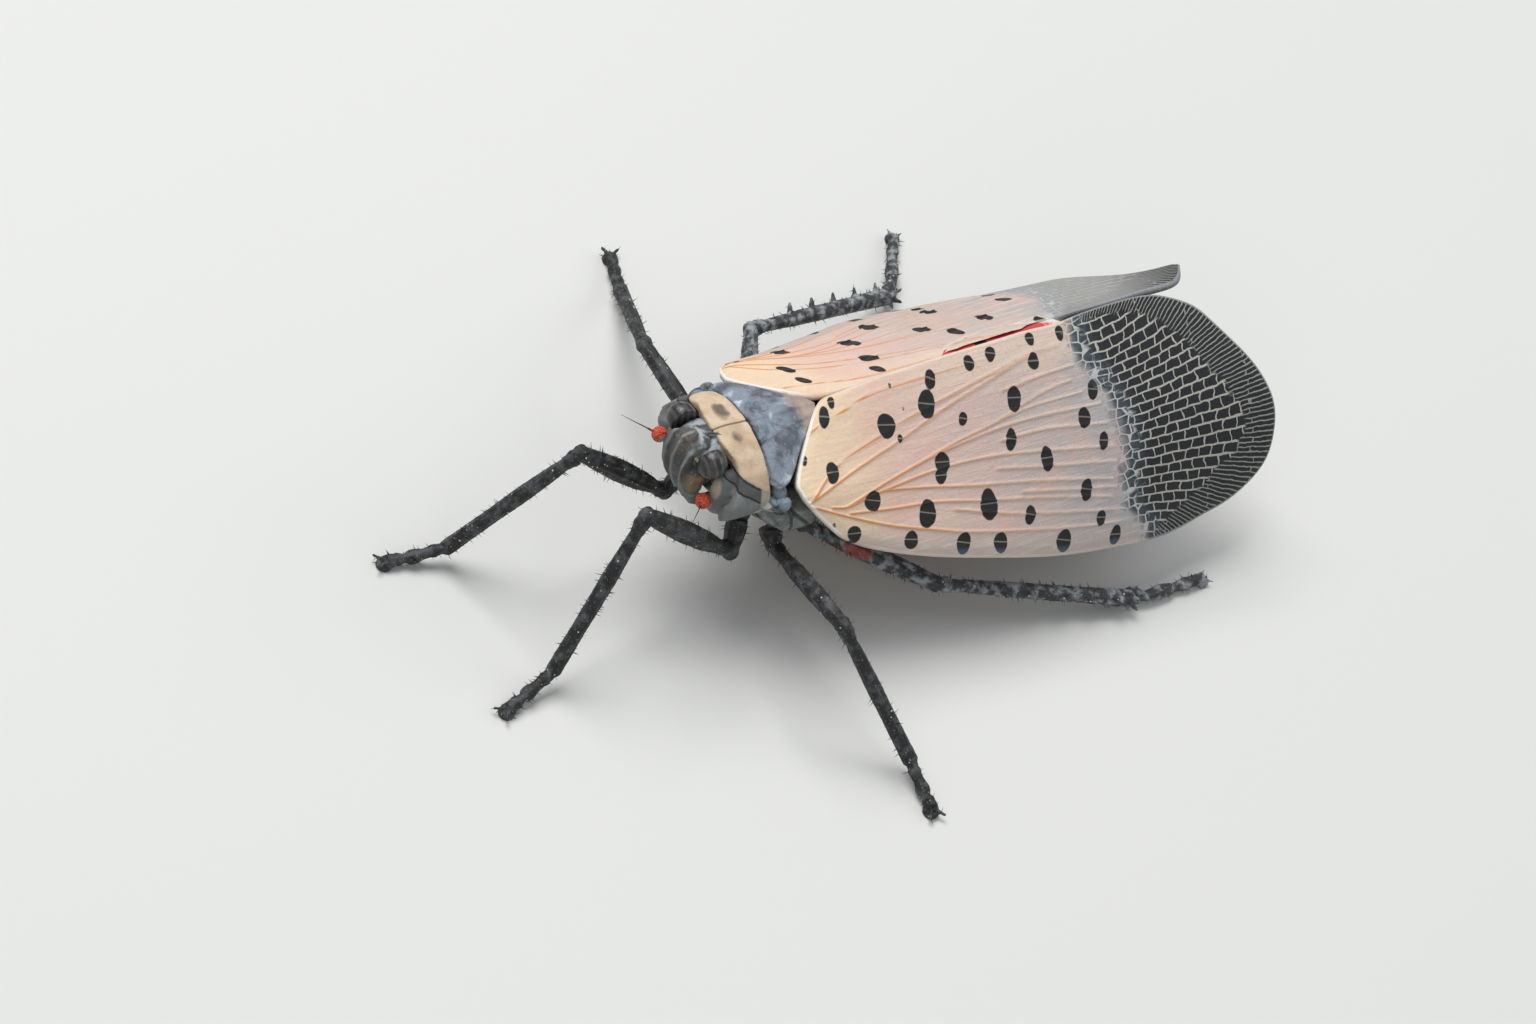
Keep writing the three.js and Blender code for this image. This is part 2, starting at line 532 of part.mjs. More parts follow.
for (const [name, leg] of Object.entries(LEGS)) {
  const [pair, where] = name.split('_');
  const side = where === 'left' ? 1 : -1;
  const size = LIMBS[pair];
  const hip = vec(...leg.hip);
  const trochanter = vec(...leg.trochanter);
  const hipWay = trochanter.clone().sub(hip).normalize();
  const hipFace = hip.clone().addScaledVector(hipWay, GAP);
  add(`coxa_${name}`, join(
    limb(hipFace, trochanter, [0.42, 0.44, 0.36, 0.26], 0.9),
    ball(trochanter, JOINT.hip, [1, 1, 1], 8, 6)), COLOURS.legs);

  const thighWay = wayOf(side, ...leg.thigh);
  const knee = trochanter.clone().addScaledVector(thighWay, size.femur);
  add(`femur_${name}`, join(
    limb(trochanter.clone().addScaledVector(thighWay, JOINT.hip + GAP), knee,
      size.femurRadii, size.flat),
    ball(knee, JOINT.knee, [1, 1, 1], 8, 6)), COLOURS.legs);

  const drop = leg.ankle - BODY_HEIGHT - knee.z;
  const shinLift = THREE.MathUtils.radToDeg(Math.asin(drop / size.tibia));
  const shinWay = wayOf(side, leg.shin, shinLift);
  const ankle = knee.clone().addScaledVector(shinWay, size.tibia);
  const shinStart = knee.clone().addScaledVector(shinWay, JOINT.knee + GAP);
  const shinLength = size.tibia - JOINT.knee - GAP;
  const spines = pair === 'hind' ? shinSpines(shinStart, shinWay, shinLength, side) : [];
  add(`tibia_${name}`, join(
    limb(shinStart, ankle.clone().addScaledVector(shinWay, -0.1), size.tibiaRadii, 1),
    ball(ankle.clone().addScaledVector(shinWay, -0.15), JOINT.ankle, [1, 1, 1], 8, 5),
    ...spines), COLOURS.legs);

  // Foot of three joints on the floor, ending in a flat pad and two claws.
  const footWay = wayOf(side, leg.foot, 0);
  const padAt = ankle.clone().addScaledVector(footWay, size.tarsus - 0.35)
    .setZ(PAD.height / 2 - BODY_HEIGHT);
  const footTop = ankle.clone().addScaledVector(footWay, JOINT.ankle + GAP + 0.08);
  footTop.z = Math.max(footTop.z - 0.12, 0.32 - BODY_HEIGHT);
  const lowest = 0.3 - BODY_HEIGHT;
  const third = (k) => {
    const p = footTop.clone().lerp(padAt, k);
    return p.setZ(Math.max(p.z, lowest));
  };
  add(`tarsus_${name}`, join(
    limb(third(0), third(0.45), [0.2, 0.25, 0.26], 1, 7),
    limb(third(0.36), third(0.72), [0.17, 0.25], 1, 7),
    limb(third(0.64), third(1), [0.17, 0.23], 1, 7),
    new THREE.CylinderGeometry(PAD.radius, PAD.radius, PAD.height, 10).rotateX(Math.PI / 2)
      .translate(padAt.x, padAt.y, padAt.z),
    ...[-1, 1].map((k) => {
      const way = wayOf(side, leg.foot + 38 * k, -4);
      const root = third(0.97);
      return limb(root, root.clone().addScaledVector(way, 0.52), [0.13, 0.05], 1, 5);
    })), COLOURS.legs);
}

// The middle of the floor print of the whole insect is the origin.
insect.updateMatrixWorld(true);
const box = new THREE.Box3().setFromObject(insect);
const middle = box.getCenter(vec(0, 0, 0));
insect.position.set(-middle.x, -middle.y, -box.min.z);
insect.updateMatrixWorld(true);

export default insect;
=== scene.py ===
import math

import bmesh
import bpy
import numpy as np
from mathutils import Matrix, Vector


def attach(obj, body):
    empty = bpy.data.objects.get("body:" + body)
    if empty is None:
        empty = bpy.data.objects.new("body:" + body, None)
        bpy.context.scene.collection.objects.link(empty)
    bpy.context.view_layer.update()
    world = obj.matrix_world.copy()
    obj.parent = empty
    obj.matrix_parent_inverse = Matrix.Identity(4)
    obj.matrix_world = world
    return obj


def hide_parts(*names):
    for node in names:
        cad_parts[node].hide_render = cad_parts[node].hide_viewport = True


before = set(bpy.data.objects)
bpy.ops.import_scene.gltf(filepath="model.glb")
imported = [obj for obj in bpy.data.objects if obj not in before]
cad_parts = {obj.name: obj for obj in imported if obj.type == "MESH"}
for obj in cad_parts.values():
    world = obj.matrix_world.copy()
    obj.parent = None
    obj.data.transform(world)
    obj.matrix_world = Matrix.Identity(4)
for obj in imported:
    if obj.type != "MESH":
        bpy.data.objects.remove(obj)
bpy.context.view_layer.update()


# Floor, light and camera. The insect stands on a plain pale floor in soft light. The camera
# looks down on its left side from in front, turned the way that the photograph is.

def placed(name, data):
    """A new object, put in the scene."""
    made = bpy.data.objects.new(name, data)
    bpy.context.collection.objects.link(made)
    return made


# The middle of the collar's hind edge, in millimetres of the frame. Places on the body are
# counted from it: x to the insect's left, y to its tail, z up.
body_at = np.array([0.46429, -5.74312, 7.5])
mm = 0.001
camera_away = 0.14996
azimuth, elevation, roll = (math.radians(a) for a in (39.95, 44.91, 25.60))
back = Vector((math.sin(azimuth) * math.cos(elevation),
               -math.cos(azimuth) * math.cos(elevation), math.sin(elevation)))
level = Vector((0, 0, 1)).cross(back).normalized()
upright = back.cross(level)
right = level * math.cos(roll) + upright * math.sin(roll)
top = upright * math.cos(roll) - level * math.sin(roll)
lens = bpy.data.cameras.new("camera")
lens.lens, lens.sensor_width, lens.clip_start = 105, 36, 0.01
lens.shift_x, lens.shift_y = 0.0177, -0.0576
camera = placed("camera", lens)
camera.matrix_world = (Matrix.Translation(Vector(body_at * mm) + back * camera_away)
                       @ Matrix((right, top, back)).transposed().to_4x4())
bpy.context.scene.camera = camera

floor_half, floor_colour, floor_roughness = 0.6, (0.6, 0.6, 0.58, 1), 0.85
ground = bpy.data.meshes.new("floor")
ground.from_pydata([(x * floor_half, y * floor_half, 0)
                    for x, y in ((-1, -1), (1, -1), (1, 1), (-1, 1))], [], [(0, 1, 2, 3)])
floor = placed("floor", ground)
paper = bpy.data.materials.new("pale_floor")
paper.use_nodes = True
matt = paper.node_tree.nodes["Principled BSDF"].inputs
matt["Base Color"].default_value = floor_colour
matt["Roughness"].default_value = floor_roughness
ground.materials.append(paper)

# Each lamp: its place and the size of its face in metres, and its watts.
for label, at, size, watts in (("key", (-0.14, -0.04, 0.30), 0.22, 1.25),
                               ("fill", (0.24, -0.22, 0.20), 0.30, 0.32),
                               ("tail", (0.10, 0.30, 0.22), 0.24, 0.35)):
    glow = bpy.data.lights.new(label, "AREA")
    glow.size, glow.energy = size, watts
    lamp = placed(label, glow)
    lamp.location = at
    lamp.rotation_euler = (-Vector(at)).to_track_quat("-Z", "Y").to_euler()
sky_colour, sky_strength = (0.86, 0.93, 1.0, 1), 0.26
sky = bpy.data.worlds.new("studio")
sky.use_nodes = True
dome = sky.node_tree.nodes["Background"].inputs
dome["Color"].default_value, dome["Strength"].default_value = sky_colour, sky_strength
bpy.context.scene.world = sky
bpy.context.scene.view_settings.view_transform = "Standard"


# Forewings. Two leathery sheets with raised veins, hinged beside the shield and folded like a
# roof, the left one lapping over the right. They are cream at the root and pinkish grey
# beyond it, with black spots, and their black ends lie under a pale net.

class Amount:
    """A number that changes over a surface, or a colour or vector between nodes."""

    def __init__(self, finish, socket):
        self.finish, self.socket = finish, socket

    def maths(self, operation, *others):
        return self.finish.node("ShaderNodeMath", {"operation": operation},
                                dict(enumerate([self, *others])))

    def __add__(self, other): return self.maths("ADD", other)
    def __sub__(self, other): return self.maths("SUBTRACT", other)
    def __mul__(self, other): return self.maths("MULTIPLY", other)
    def __truediv__(self, other): return self.maths("DIVIDE", other)
    def __pow__(self, other): return self.maths("POWER", other)
    def __abs__(self): return self.maths("ABSOLUTE")
    def __rsub__(self, other): return self.finish.constant(other) - self
    __radd__, __rmul__ = __add__, __mul__

    def sine(self): return self.maths("SINE")
    def most(self, other): return self.maths("MAXIMUM", other)

    def rise(self, low, high):
        """0 below low and 1 above high, eased between; turned round if low is above high."""
        turned = low > high
        return self.finish.node("ShaderNodeMapRange", {"interpolation_type": "SMOOTHSTEP"}, {
            "Value": self, "From Min": min(low, high), "From Max": max(low, high),
            "To Min": 1.0 if turned else 0.0, "To Max": 0.0 if turned else 1.0})


class Finish:
    """A material built from nodes round one shader, whose plain values are given by name."""

    def __init__(self, name, **shader):
        self.material = bpy.data.materials.new(name)
        self.material.use_nodes = True
        self.nodes = self.material.node_tree.nodes
        self.links = self.material.node_tree.links
        self.shader = self.nodes["Principled BSDF"]
        for socket, value in shader.items():
            self.shader.inputs[socket.replace("_", " ")].default_value = value

    def node(self, kind, settings=None, inputs=None, output=0):
        """Any node: its settings first, then the values or links of its sockets."""
        made = self.nodes.new(kind)
        for key, value in (settings or {}).items():
            if key == "stops":
                ramp = made.color_ramp.elements
                while len(ramp) < len(value):
                    ramp.new(0.5)
                for stop, (at, colour) in zip(ramp, value):
                    stop.position, stop.color = at, (*colour, 1)
            else:
                setattr(made, key, value)
        for key, value in (inputs or {}).items():
            if isinstance(value, Amount):
                self.links.new(value.socket, made.inputs[key])
            else:
                made.inputs[key].default_value = value
        return Amount(self, made.outputs[output])

    def constant(self, number):
        return self.node("ShaderNodeMath", {"operation": "ADD"}, {0: number, 1: 0.0})

    def mix(self, share, a, b):
        """Colour a where share is 0, colour b where it is 1."""
        inputs = {0: share}
        for place, colour in ((6, a), (7, b)):
            inputs[place] = colour if isinstance(colour, Amount) else (*colour, 1)
        return self.node("ShaderNodeMix", {"data_type": "RGBA"}, inputs, output=2)

    def field(self, name):
        """A value kept at the piece's own points."""
        return self.node("ShaderNodeAttribute", {"attribute_name": name}, output="Fac")

    def place(self):
        """Millimetres from the hind edge of the collar, the same for every piece."""
        there = self.node("ShaderNodeTexCoord", output="Object")
        return self.node("ShaderNodeMapping", {"vector_type": "POINT"}, {
            "Vector": there, "Scale": (1 / mm,) * 3, "Location": tuple(-body_at)})

    def split(self, vector):
        """The x, y and z of a vector."""
        return [self.node("ShaderNodeSeparateXYZ", inputs={0: vector}, output=k)
                for k in range(3)]

    def noise(self, vector, scale, detail=3, rough=0.55, warp=0.0):
        return self.node("ShaderNodeTexNoise", inputs={
            "Vector": vector, "Scale": scale, "Detail": detail, "Roughness": rough,
            "Distortion": warp})

    def close(self, colour, rough, height=None, depth=0.00003):
        """Joins colour, roughness and relief, depth in metres, to the shader."""
        for socket, value in (("Base Color", colour), ("Roughness", rough)):
            if isinstance(value, Amount):
                self.links.new(value.socket, self.shader.inputs[socket])
            else:
                self.shader.inputs[socket].default_value = value
        if height is not None:
            bump = self.node("ShaderNodeBump", None, {
                "Height": height, "Distance": depth, "Strength": 1.0})
            self.links.new(bump.socket, self.shader.inputs["Normal"])
        return self.material


# The roof: how steep it is, how its ridge climbs to the tail, and where the ridge starts.
slope, rise = math.radians(39.8), math.radians(2.4)
ridge_start = np.array([0, 2.82, 0.16])
ridge_way = np.array([0, math.cos(rise), math.sin(rise)])
roof_way = np.array([math.cos(slope), math.sin(slope) * math.sin(rise),
                     -math.sin(slope) * math.cos(rise)])
roof_normal = np.cross(roof_way, ridge_way)
roof_normal /= np.linalg.norm(roof_normal)
swell_way = np.array([0.455, -0.54, 0.708])
swell, camber_height, tuck_depth = 0.85, 0.25, 1.15

# Lines from the root to the outer edge: u is back along the ridge, v is down the roof, in mm.
wing_lines = np.array([
    [(.12, .36), (1.3, .26), (3, .22), (5.6, .2), (8.6, .2), (11.6, .2), (14.4, .2), (16.75, .72)],
    [(-.68, 1.15), (.8, .92), (2.8, .74), (5.5, .66), (8.6, .6), (11.6, .6), (14.5, .68),
     (17.2, 1.25)],
    [(-1.36, 2.45), (.3, 2.3), (2.5, 1.78), (5.3, 1.3), (8.6, 1.1), (11.6, 1.12), (14.7, 1.28),
     (17.7, 1.85)],
    [(-1.28, 2.7), (.6, 2.95), (2.7, 2.75), (5.3, 2.35), (8.6, 2.05), (11.6, 2.0), (14.8, 2.1),
     (18.2, 2.5)],
    [(-1.2, 2.92), (.6, 3.5), (2.7, 3.4), (5.3, 3.15), (8.6, 3.0), (11.6, 3.05), (14.9, 3.15),
     (18.75, 3.4)],
    [(-1.12, 3.12), (.6, 3.88), (2.7, 3.95), (5.3, 4.05), (8.6, 4.15), (11.6, 4.4), (15, 4.5),
     (19.2, 4.6)],
    [(-1.02, 3.3), (.5, 4.14), (2.6, 4.55), (5.5, 5.0), (8.6, 5.4), (11.6, 5.75), (14.9, 5.9),
     (19.1, 5.75)],
    [(-.9, 3.48), (.4, 4.42), (2.5, 5.2), (5.6, 6.0), (8.6, 6.62), (11.6, 7.0), (14.6, 7.15),
     (18.65, 6.85)],
    [(-.72, 3.78), (.4, 5.0), (3, 6.12), (6.2, 7.02), (8.8, 7.63), (11.5, 8.02), (14.1, 8.22),
     (17.2, 7.75)],
])
cells_between = (8, 10, 17, 20, 23, 22, 20, 22)
# The main veins, as u and v along each.
wing_veins = [
    [(-.70, 1.01), (.69, .72), (2.29, .40), (4.20, .36), (7.25, .36), (9.79, .3)],
    [(-.87, 3.16), (.30, 2.30), (2.24, 1.73), (3.23, 1.48), (5.39, 1.05), (9.24, .5)],
    [(-1.11, 3.27), (.97, 2.61), (3.0, 2.06), (5.45, 1.31), (8.79, .62), (10.4, .5)],
    [(2.72, 3.17), (5.21, 2.64), (6.96, 2.37), (9.09, 1.84), (10.42, 1.69)],
    [(.39, 3.72), (2.72, 3.17), (4.60, 2.83), (6.62, 2.63), (8.61, 2.60), (11.46, 2.76)],
    [(1.94, 3.54), (4.05, 3.38), (6.13, 3.44), (8.32, 3.75), (9.98, 4.05), (11.65, 4.34)],
    [(1.94, 3.54), (3.52, 3.83), (5.37, 4.24), (7.26, 4.59), (9.44, 5.03), (11.5, 5.49)],
    [(.46, 3.97), (2.17, 4.23), (3.92, 4.45), (6.04, 4.93), (8.47, 5.43), (11.35, 6.10)],
    [(-1.11, 3.30), (.25, 4.0), (1.94, 4.77), (3.69, 5.37), (5.09, 5.81), (7.93, 6.46),
     (10.27, 6.89), (12.4, 7.19)],
    [(-.2, 3.6), (.39, 3.72), (1.2, 3.62), (1.94, 3.54)],
    [(6.5, 2.45), (8.5, 2.2), (10.8, 2.2)],
    [(7.0, 3.05), (9.0, 3.1), (11.6, 3.5)],
    [(6.6, 3.95), (8.6, 4.35), (11.7, 4.9)],
    [(7.5, 5.0), (9.5, 5.4), (11.6, 5.8)],
    [(4.6, 4.9), (7.2, 5.7), (10.2, 6.35), (12, 6.7)],
    [(7.5, 1.4), (9.3, 1.25), (10.7, 1.2)],
]
# Each spot: u, v, half its length and half its breadth.
left_spots = [
    (.68, .27, .20, .17), (.26, .65, .32, .24), (-.86, 1.80, .17, .12), (.09, 2.46, .36, .30),
    (2.61, 1.44, .44, .41), (3.02, 1.99, .15, .12), (4.38, 1.13, .45, .41), (4.77, .44, .29, .26),
    (6.49, .29, .26, .25), (7.45, .20, .26, .25), (7.94, 1.77, .45, .34), (5.68, 1.94, .24, .21),
    (4.46, 3.20, .42, .33), (4.30, 3.62, .3, .26), (7.42, 3.11, .43, .25), (1.43, 3.78, .37, .37),
    (3.47, 4.75, .48, .41), (5.97, 5.07, .59, .40), (7.65, 5.86, .33, .28), (-.26, 4.19, .08, .07),
    (.45, 4.68, .31, .30), (2.63, 5.46, .33, .31), (4.68, 6.10, .38, .34), (6.19, 6.47, .38, .34),
    (9.01, 7.14, .43, .38), (11.45, 7.56, .35, .31), (9.11, .77, .27, .26), (9.22, .08, .24, .22),
    (3.12, .30, .10, .07), (3.43, 1.04, .06, .05), (11.27, 2.25, .35, .26),
    (10.65, 3.11, .39, .30), (11.29, 4.10, .32, .24), (8.75, 4.12, .45, .30),
    (10.24, 5.61, .39, .30), (10.80, 6.77, .27, .26), (10.5, .16, .26, .2),
]
right_spots = [
    (-.12, 4.01, .3, .26), (2.57, 6.0, .33, .3), (2.19, 4.80, .4, .34), (.80, 2.23, .34, .28),
    (.67, 1.14, .3, .24), (4.39, 3.79, .5, .34), (3.78, 1.78, .42, .36), (3.31, .71, .3, .26),
    (6.57, 6.56, .38, .32), (4.57, 6.5, .38, .32), (8.73, 7.16, .4, .34), (8.88, 5.95, .34, .28),
    (8.61, 4.91, .4, .3), (6.93, 2.97, .42, .3), (10.07, 7.33, .36, .3), (11.63, 5.42, .34, .28),
    (11.21, 3.84, .36, .28), (9.28, 2.46, .4, .3), (6.0, 4.9, .48, .34), (7.6, 1.9, .36, .28),
    (10.6, .9, .3, .24),
]
# Where the net begins: v, then u.
net_border = [(-.38, 10.8), (.70, 10.68), (1.78, 11.27), (2.96, 11.78), (4.44, 12.06),
              (5.56, 11.78), (6.77, 11.91), (7.58, 12.74)]


def held(value):
    """The value, held between 0 and 1."""
    return np.clip(value, 0, 1)


def smooth_through(rows, at):
    """Values on a smooth curve through the rows, at places counted in rows."""
    rows = np.asarray(rows, float)
    gaps = np.diff(rows, axis=0)
    lean = np.concatenate([gaps[:1], (gaps[:-1] + gaps[1:]) / 2, gaps[-1:]])
    i = np.minimum(at.astype(int), len(rows) - 2)
    f = (at - i).reshape(-1, *[1] * (rows.ndim - 1))
    a, b, m, n = rows[i], rows[i + 1], lean[i], lean[i + 1]
    return (a * (2 * f**3 - 3 * f**2 + 1) + m * (f**3 - 2 * f**2 + f)
            + b * (3 * f**2 - 2 * f**3) + n * (f**3 - f**2))


def distance_to(points, line):
    """How far each point is from a line of straight lengths."""
    best = np.full(len(points), 1e9)
    for a, b in zip(line[:-1], line[1:]):
        way = b - a
        t = held(((points - a) @ way) / max(way @ way, 1e-12))
        best = np.minimum(best, np.linalg.norm(points - a - t[:, None] * way, axis=1))
    return best


def on_wing(u, v, tip_bend):
    """Places on the roof, swollen over the root and tucked in along the lower edge."""
    over_root = (swell * np.exp(-((u + 1.1) / 3.2)**2) * held(v / 3)
                 * (1 - 0.4 * held((v - 3.3) / 2)))
    camber = camber_height * np.sin(np.pi * held(v / 8.2)) * np.clip(u / 6, 0.3, 1)
    tuck = tuck_depth * held((v - 2.5) / 5.5)**2 * held((u - 6) / 10)
    late = held((u - 14.6) / 3.4)
    bend = tip_bend * late**2 * (3 - 2 * late) * held((v - 2.5) / 3)
    return (ridge_start + u[:, None] * ridge_way + v[:, None] * roof_way
            + over_root[:, None] * swell_way + (camber - tuck - bend)[:, None] * roof_normal)


def hump(away, breadth):
    """1 where away is 0, falling off within about the breadth."""
    return np.exp(-(away / breadth)**2)


def rim_of(deep, wide):
    """The points round the rim of a grid, in turn."""
    return (list(range(wide)) + [i * wide + wide - 1 for i in range(1, deep)]
            + [(deep - 1) * wide + j for j in range(wide - 2, -1, -1)]
            + [i * wide for i in range(deep - 2, 0, -1)])


def closed_piece(name, points, cells):
    """A new piece from points and faces, with all its faces turned outwards."""
    mesh = bpy.data.meshes.new(name)
    mesh.from_pydata(points.tolist(), [], cells)
    work = bmesh.new()
    work.from_mesh(mesh)
    bmesh.ops.recalc_face_normals(work, faces=work.faces)
    work.to_mesh(mesh)
    work.free()
    mesh.shade_smooth()
    return placed(name, mesh)


across = np.concatenate([np.linspace(k, k + 1, n, endpoint=False)
                         for k, n in enumerate(cells_between)] + [[float(len(cells_between))]])
along = np.linspace(0, len(wing_lines[0]) - 1, 300)
rim_rounds, rim_reach = 110, 36
top_height, under_height, under_wall = 0.25, 0.05, 0.08
top_thinning, under_thinning, thin_from = 0.10, 0.02, 0.35
vein_height, vein_breadth, vein_under = 0.05, 0.05, 0.3
wings = []
# Each wing: its side, how far it laps, how its tip bends down, its spots, and a fixed seed.
for side, lap, tip_bend, spots, seed in ((1, -0.55, 0.0, left_spots, 3),
                                         (-1, 0.75, 1.05, right_spots, 8)):
    lines = np.stack([smooth_through(line, along) for line in wing_lines])
    for row, share in ((0, 1), (1, 0.5)):
        reach = held((lines[row, :, 0] - 8.5) / 3) * held((17.6 - lines[row, :, 0]) / 2.6)
        lines[row, :, 1] += lap * share * reach
    # The wings close over the back, with a narrow slit between them in the middle.
    back_way = lines[0, :, 0]
    inner = np.interp(back_way, [0, 3, 5.6, 6.6, 9.0, 10.2], (
        [.06, -.16, -.24, -.24, -.28, -.34] if side > 0 else [.06, .12, .14, 1.15, 1.50, 1.25]))
    keep = held((back_way - 9.5) / 1.2)
    lines[0, :, 1] = inner * (1 - keep) + lines[0, :, 1] * keep
    grid = smooth_through(lines, across)
    deep, wide = grid.shape[:2]
    size = deep * wide
    edge = rim_of(deep, wide)
    # The rim is smoothed, and the points near it follow it.
    loop = grid.reshape(-1, 2)[edge]
    for _ in range(rim_rounds):
        loop = (np.roll(loop, 1, 0) + 2 * loop + np.roll(loop, -1, 0)) / 4
    moved = np.zeros((size, 2))
    moved[edge] = loop - grid.reshape(-1, 2)[edge]
    moved = moved.reshape(deep, wide, 2)
    near = held(1 - np.arange(max(deep, wide)) / rim_reach)**2
    flow = (moved[:, :1] * near[:wide, None] + moved[:, -1:] * near[:wide][::-1, None]
            + moved[:1] * near[:deep, None, None] + moved[-1:] * near[:deep][::-1, None, None])
    flow[[0, -1]], flow[:, [0, -1]] = moved[[0, -1]], moved[:, [0, -1]]
    flat = (grid + flow).reshape(-1, 2)
    u, v = flat.T
    rim = distance_to(flat, flat[edge[::4] + edge[:1]])
    far_off = 9.0
    vein = np.full(size, far_off)
    for line in wing_veins:
        vein = np.minimum(vein, distance_to(flat, smooth_through(line, np.linspace(
            0, len(line) - 1, 30))))
    # ink is below 0 inside a spot; cross is how far a place is from the line over the spot.
    draw = np.random.default_rng(seed)
    ink, cross = np.full(size, far_off), np.zeros(size)
    for su, sv, long, broad in spots:
        tilt = math.radians(-76 + draw.uniform(-9, 9))
        du, dv = u - su, v - sv
        x, y = du * math.cos(tilt) + dv * math.sin(tilt), dv * math.cos(tilt) - du * math.sin(tilt)
        turn = np.arctan2(y, x)
        wobble = (1 + 0.05 * np.sin(2 * turn + draw.uniform(0, 6))
                  + 0.04 * np.sin(3 * turn + draw.uniform(0, 6)))
        here = (np.hypot(x / long, y / broad / .86) / wobble - 1) * min(long, broad)
        cross = np.where(here < ink, x - .08 * long, cross)
        ink = np.minimum(ink, here)
    # net is how far a place is inside the net; its rows and outer streaks fan out from centre.
    net = u - np.interp(v, *np.array(net_border).T)
    centre = 4.2
    row = (v - centre) / (1 + 0.035 * np.clip(u - 12, 0, None)**1.5)
    reed = 9.7 * np.arctan2(v - centre, np.maximum(u - 9.5, 0.3))
    # The wall stands straight up along the ridge and square to the roof below it.
    plumb = np.array([0, 0, 1.0])
    lean = held(v / 1.2)[:, None]
    normal = plumb + lean**2 * (3 - 2 * lean) * (roof_normal - plumb)
    normal /= np.linalg.norm(normal, axis=1)[:, None]
    fade = held((12.5 - u) / 1.5)
    ridge = vein_height * hump(vein, vein_breadth) * fade
    thin = held(rim / thin_from)**0.5
    base = on_wing(u, v, tip_bend)
    crown = base + normal * (top_height - top_thinning * (1 - thin) + ridge)[:, None]
    belly = base + normal * (under_height - under_thinning * (1 - thin) + ridge * vein_under
                             - under_wall)[:, None]
    places = np.concatenate([crown, belly]) * [side, 1, 1]
    cells = []
    for i in range(deep - 1):
        for j in range(wide - 1):
            a, b = i * wide + j, (i + 1) * wide + j
            cells.append((a, a + 1, b + 1, b))
            cells.append((size + a, size + b, size + b + 1, size + a + 1))
    for a, b in zip(edge, edge[1:] + edge[:1]):
        cells.append((b, a, size + a, size + b))
    node = "forewing_left" if side > 0 else "forewing_right"
    wing = closed_piece(node + "_skin", (places + body_at) * mm, cells)
    mesh = wing.data
    for name, values in (("ink", ink), ("cross", cross), ("vein", vein), ("net", net),
                         ("rim", rim), ("u", u), ("v", v), ("row", row), ("reed", reed),
                         ("far", np.full(len(u), 0.0 if side > 0 else 1.0))):
        layer = mesh.attributes.new(name, "FLOAT", "POINT")
        layer.data.foreach_set("value", np.tile(values, 2).astype(np.float32))
    sheet = mesh.uv_layers.new(name="OFBake")
    laid_u, laid_v, under_from = (u + 2) / 22, (v + 1) / 10 * 0.48, 0.52
    laid = np.concatenate([np.c_[laid_u, laid_v], np.c_[laid_u, under_from + laid_v]])
    corner = np.zeros(len(mesh.loops), int)
    mesh.loops.foreach_get("vertex_index", corner)
    sheet.data.foreach_set("uv", laid[corner].astype(np.float32).ravel())
    wings.append((wing, node))

# Colours: the skin from root to tip, its blooms and shades, veins, spots, net and rim, and a
# grey painted sheen on the far wing's end.
root_to_tip = [(0.0, (.72, .56, .37)), (.15, (.71, .54, .37)), (.24, (.66, .46, .37)),
               (.42, (.57, .43, .38)), (.60, (.48, .40, .37)), (.80, (.36, .355, .35))]
rosy, straw, low_shade = (.66, .40, .33), (.72, .56, .42), (.40, .35, .31)
brown_grain, pale_streak, ladder_pale = (.42, .33, .30), (.74, .62, .55), (.76, .63, .55)
vein_root, vein_middle, vein_outer = (.56, .23, .08), (.54, .35, .24), (.62, .50, .42)
spot_black, spot_grain = (.010, .009, .009), (.05, .045, .042)
spot_line, spot_slate = (.30, .27, .24), (.05, .085, .12)
net_grey, net_tan, reed_grey = (.46, .47, .48), (.40, .385, .35), (.235, .235, .23)
cell_black, cell_blue, cell_far_sheen = (.012, .013, .014), (.10, .14, .17), (.33, .325, .32)
rim_grey, rim_white, rim_straw = (.30, .30, .31), (.80, .76, .70), (.66, .58, .50)

skin = Finish("forewing", Specular_IOR_Level=0.35)
u, v, ink, vein, cross = (skin.field(n) for n in ("u", "v", "ink", "vein", "cross"))
net, rim, row, reed, far = (skin.field(n) for n in ("net", "rim", "row", "reed", "far"))
apart = far * 30.0
there = skin.node("ShaderNodeCombineXYZ", None, {0: u, 1: v, 2: apart})
patchy = skin.noise(there, 0.55, 3)
fine = skin.noise(there, 7, 4, 0.65)
membrane = skin.node("ShaderNodeValToRGB", {"stops": root_to_tip}, {"Fac": (u + 1.5) / 16})
membrane = skin.mix(patchy.rise(.42, .72) * .55, membrane, rosy)
membrane = skin.mix(v.rise(1.5, .5) * u.rise(1, 6) * .55, membrane, straw)
low = (v - u * .27 - 3.9).rise(.1, 1.1) * .8
membrane = skin.mix(low * u.rise(-1, 1), membrane, low_shade)
membrane = skin.mix(fine.rise(.35, .75) * .22, membrane, brown_grain)
long_way = skin.node("ShaderNodeCombineXYZ", None, {0: u * .5, 1: v * 3.4, 2: apart})
streak = skin.noise(long_way, 1.6, 3, 0.6, 0.4)
membrane = skin.mix(streak.rise(.5, .68) * .25, membrane, pale_streak)


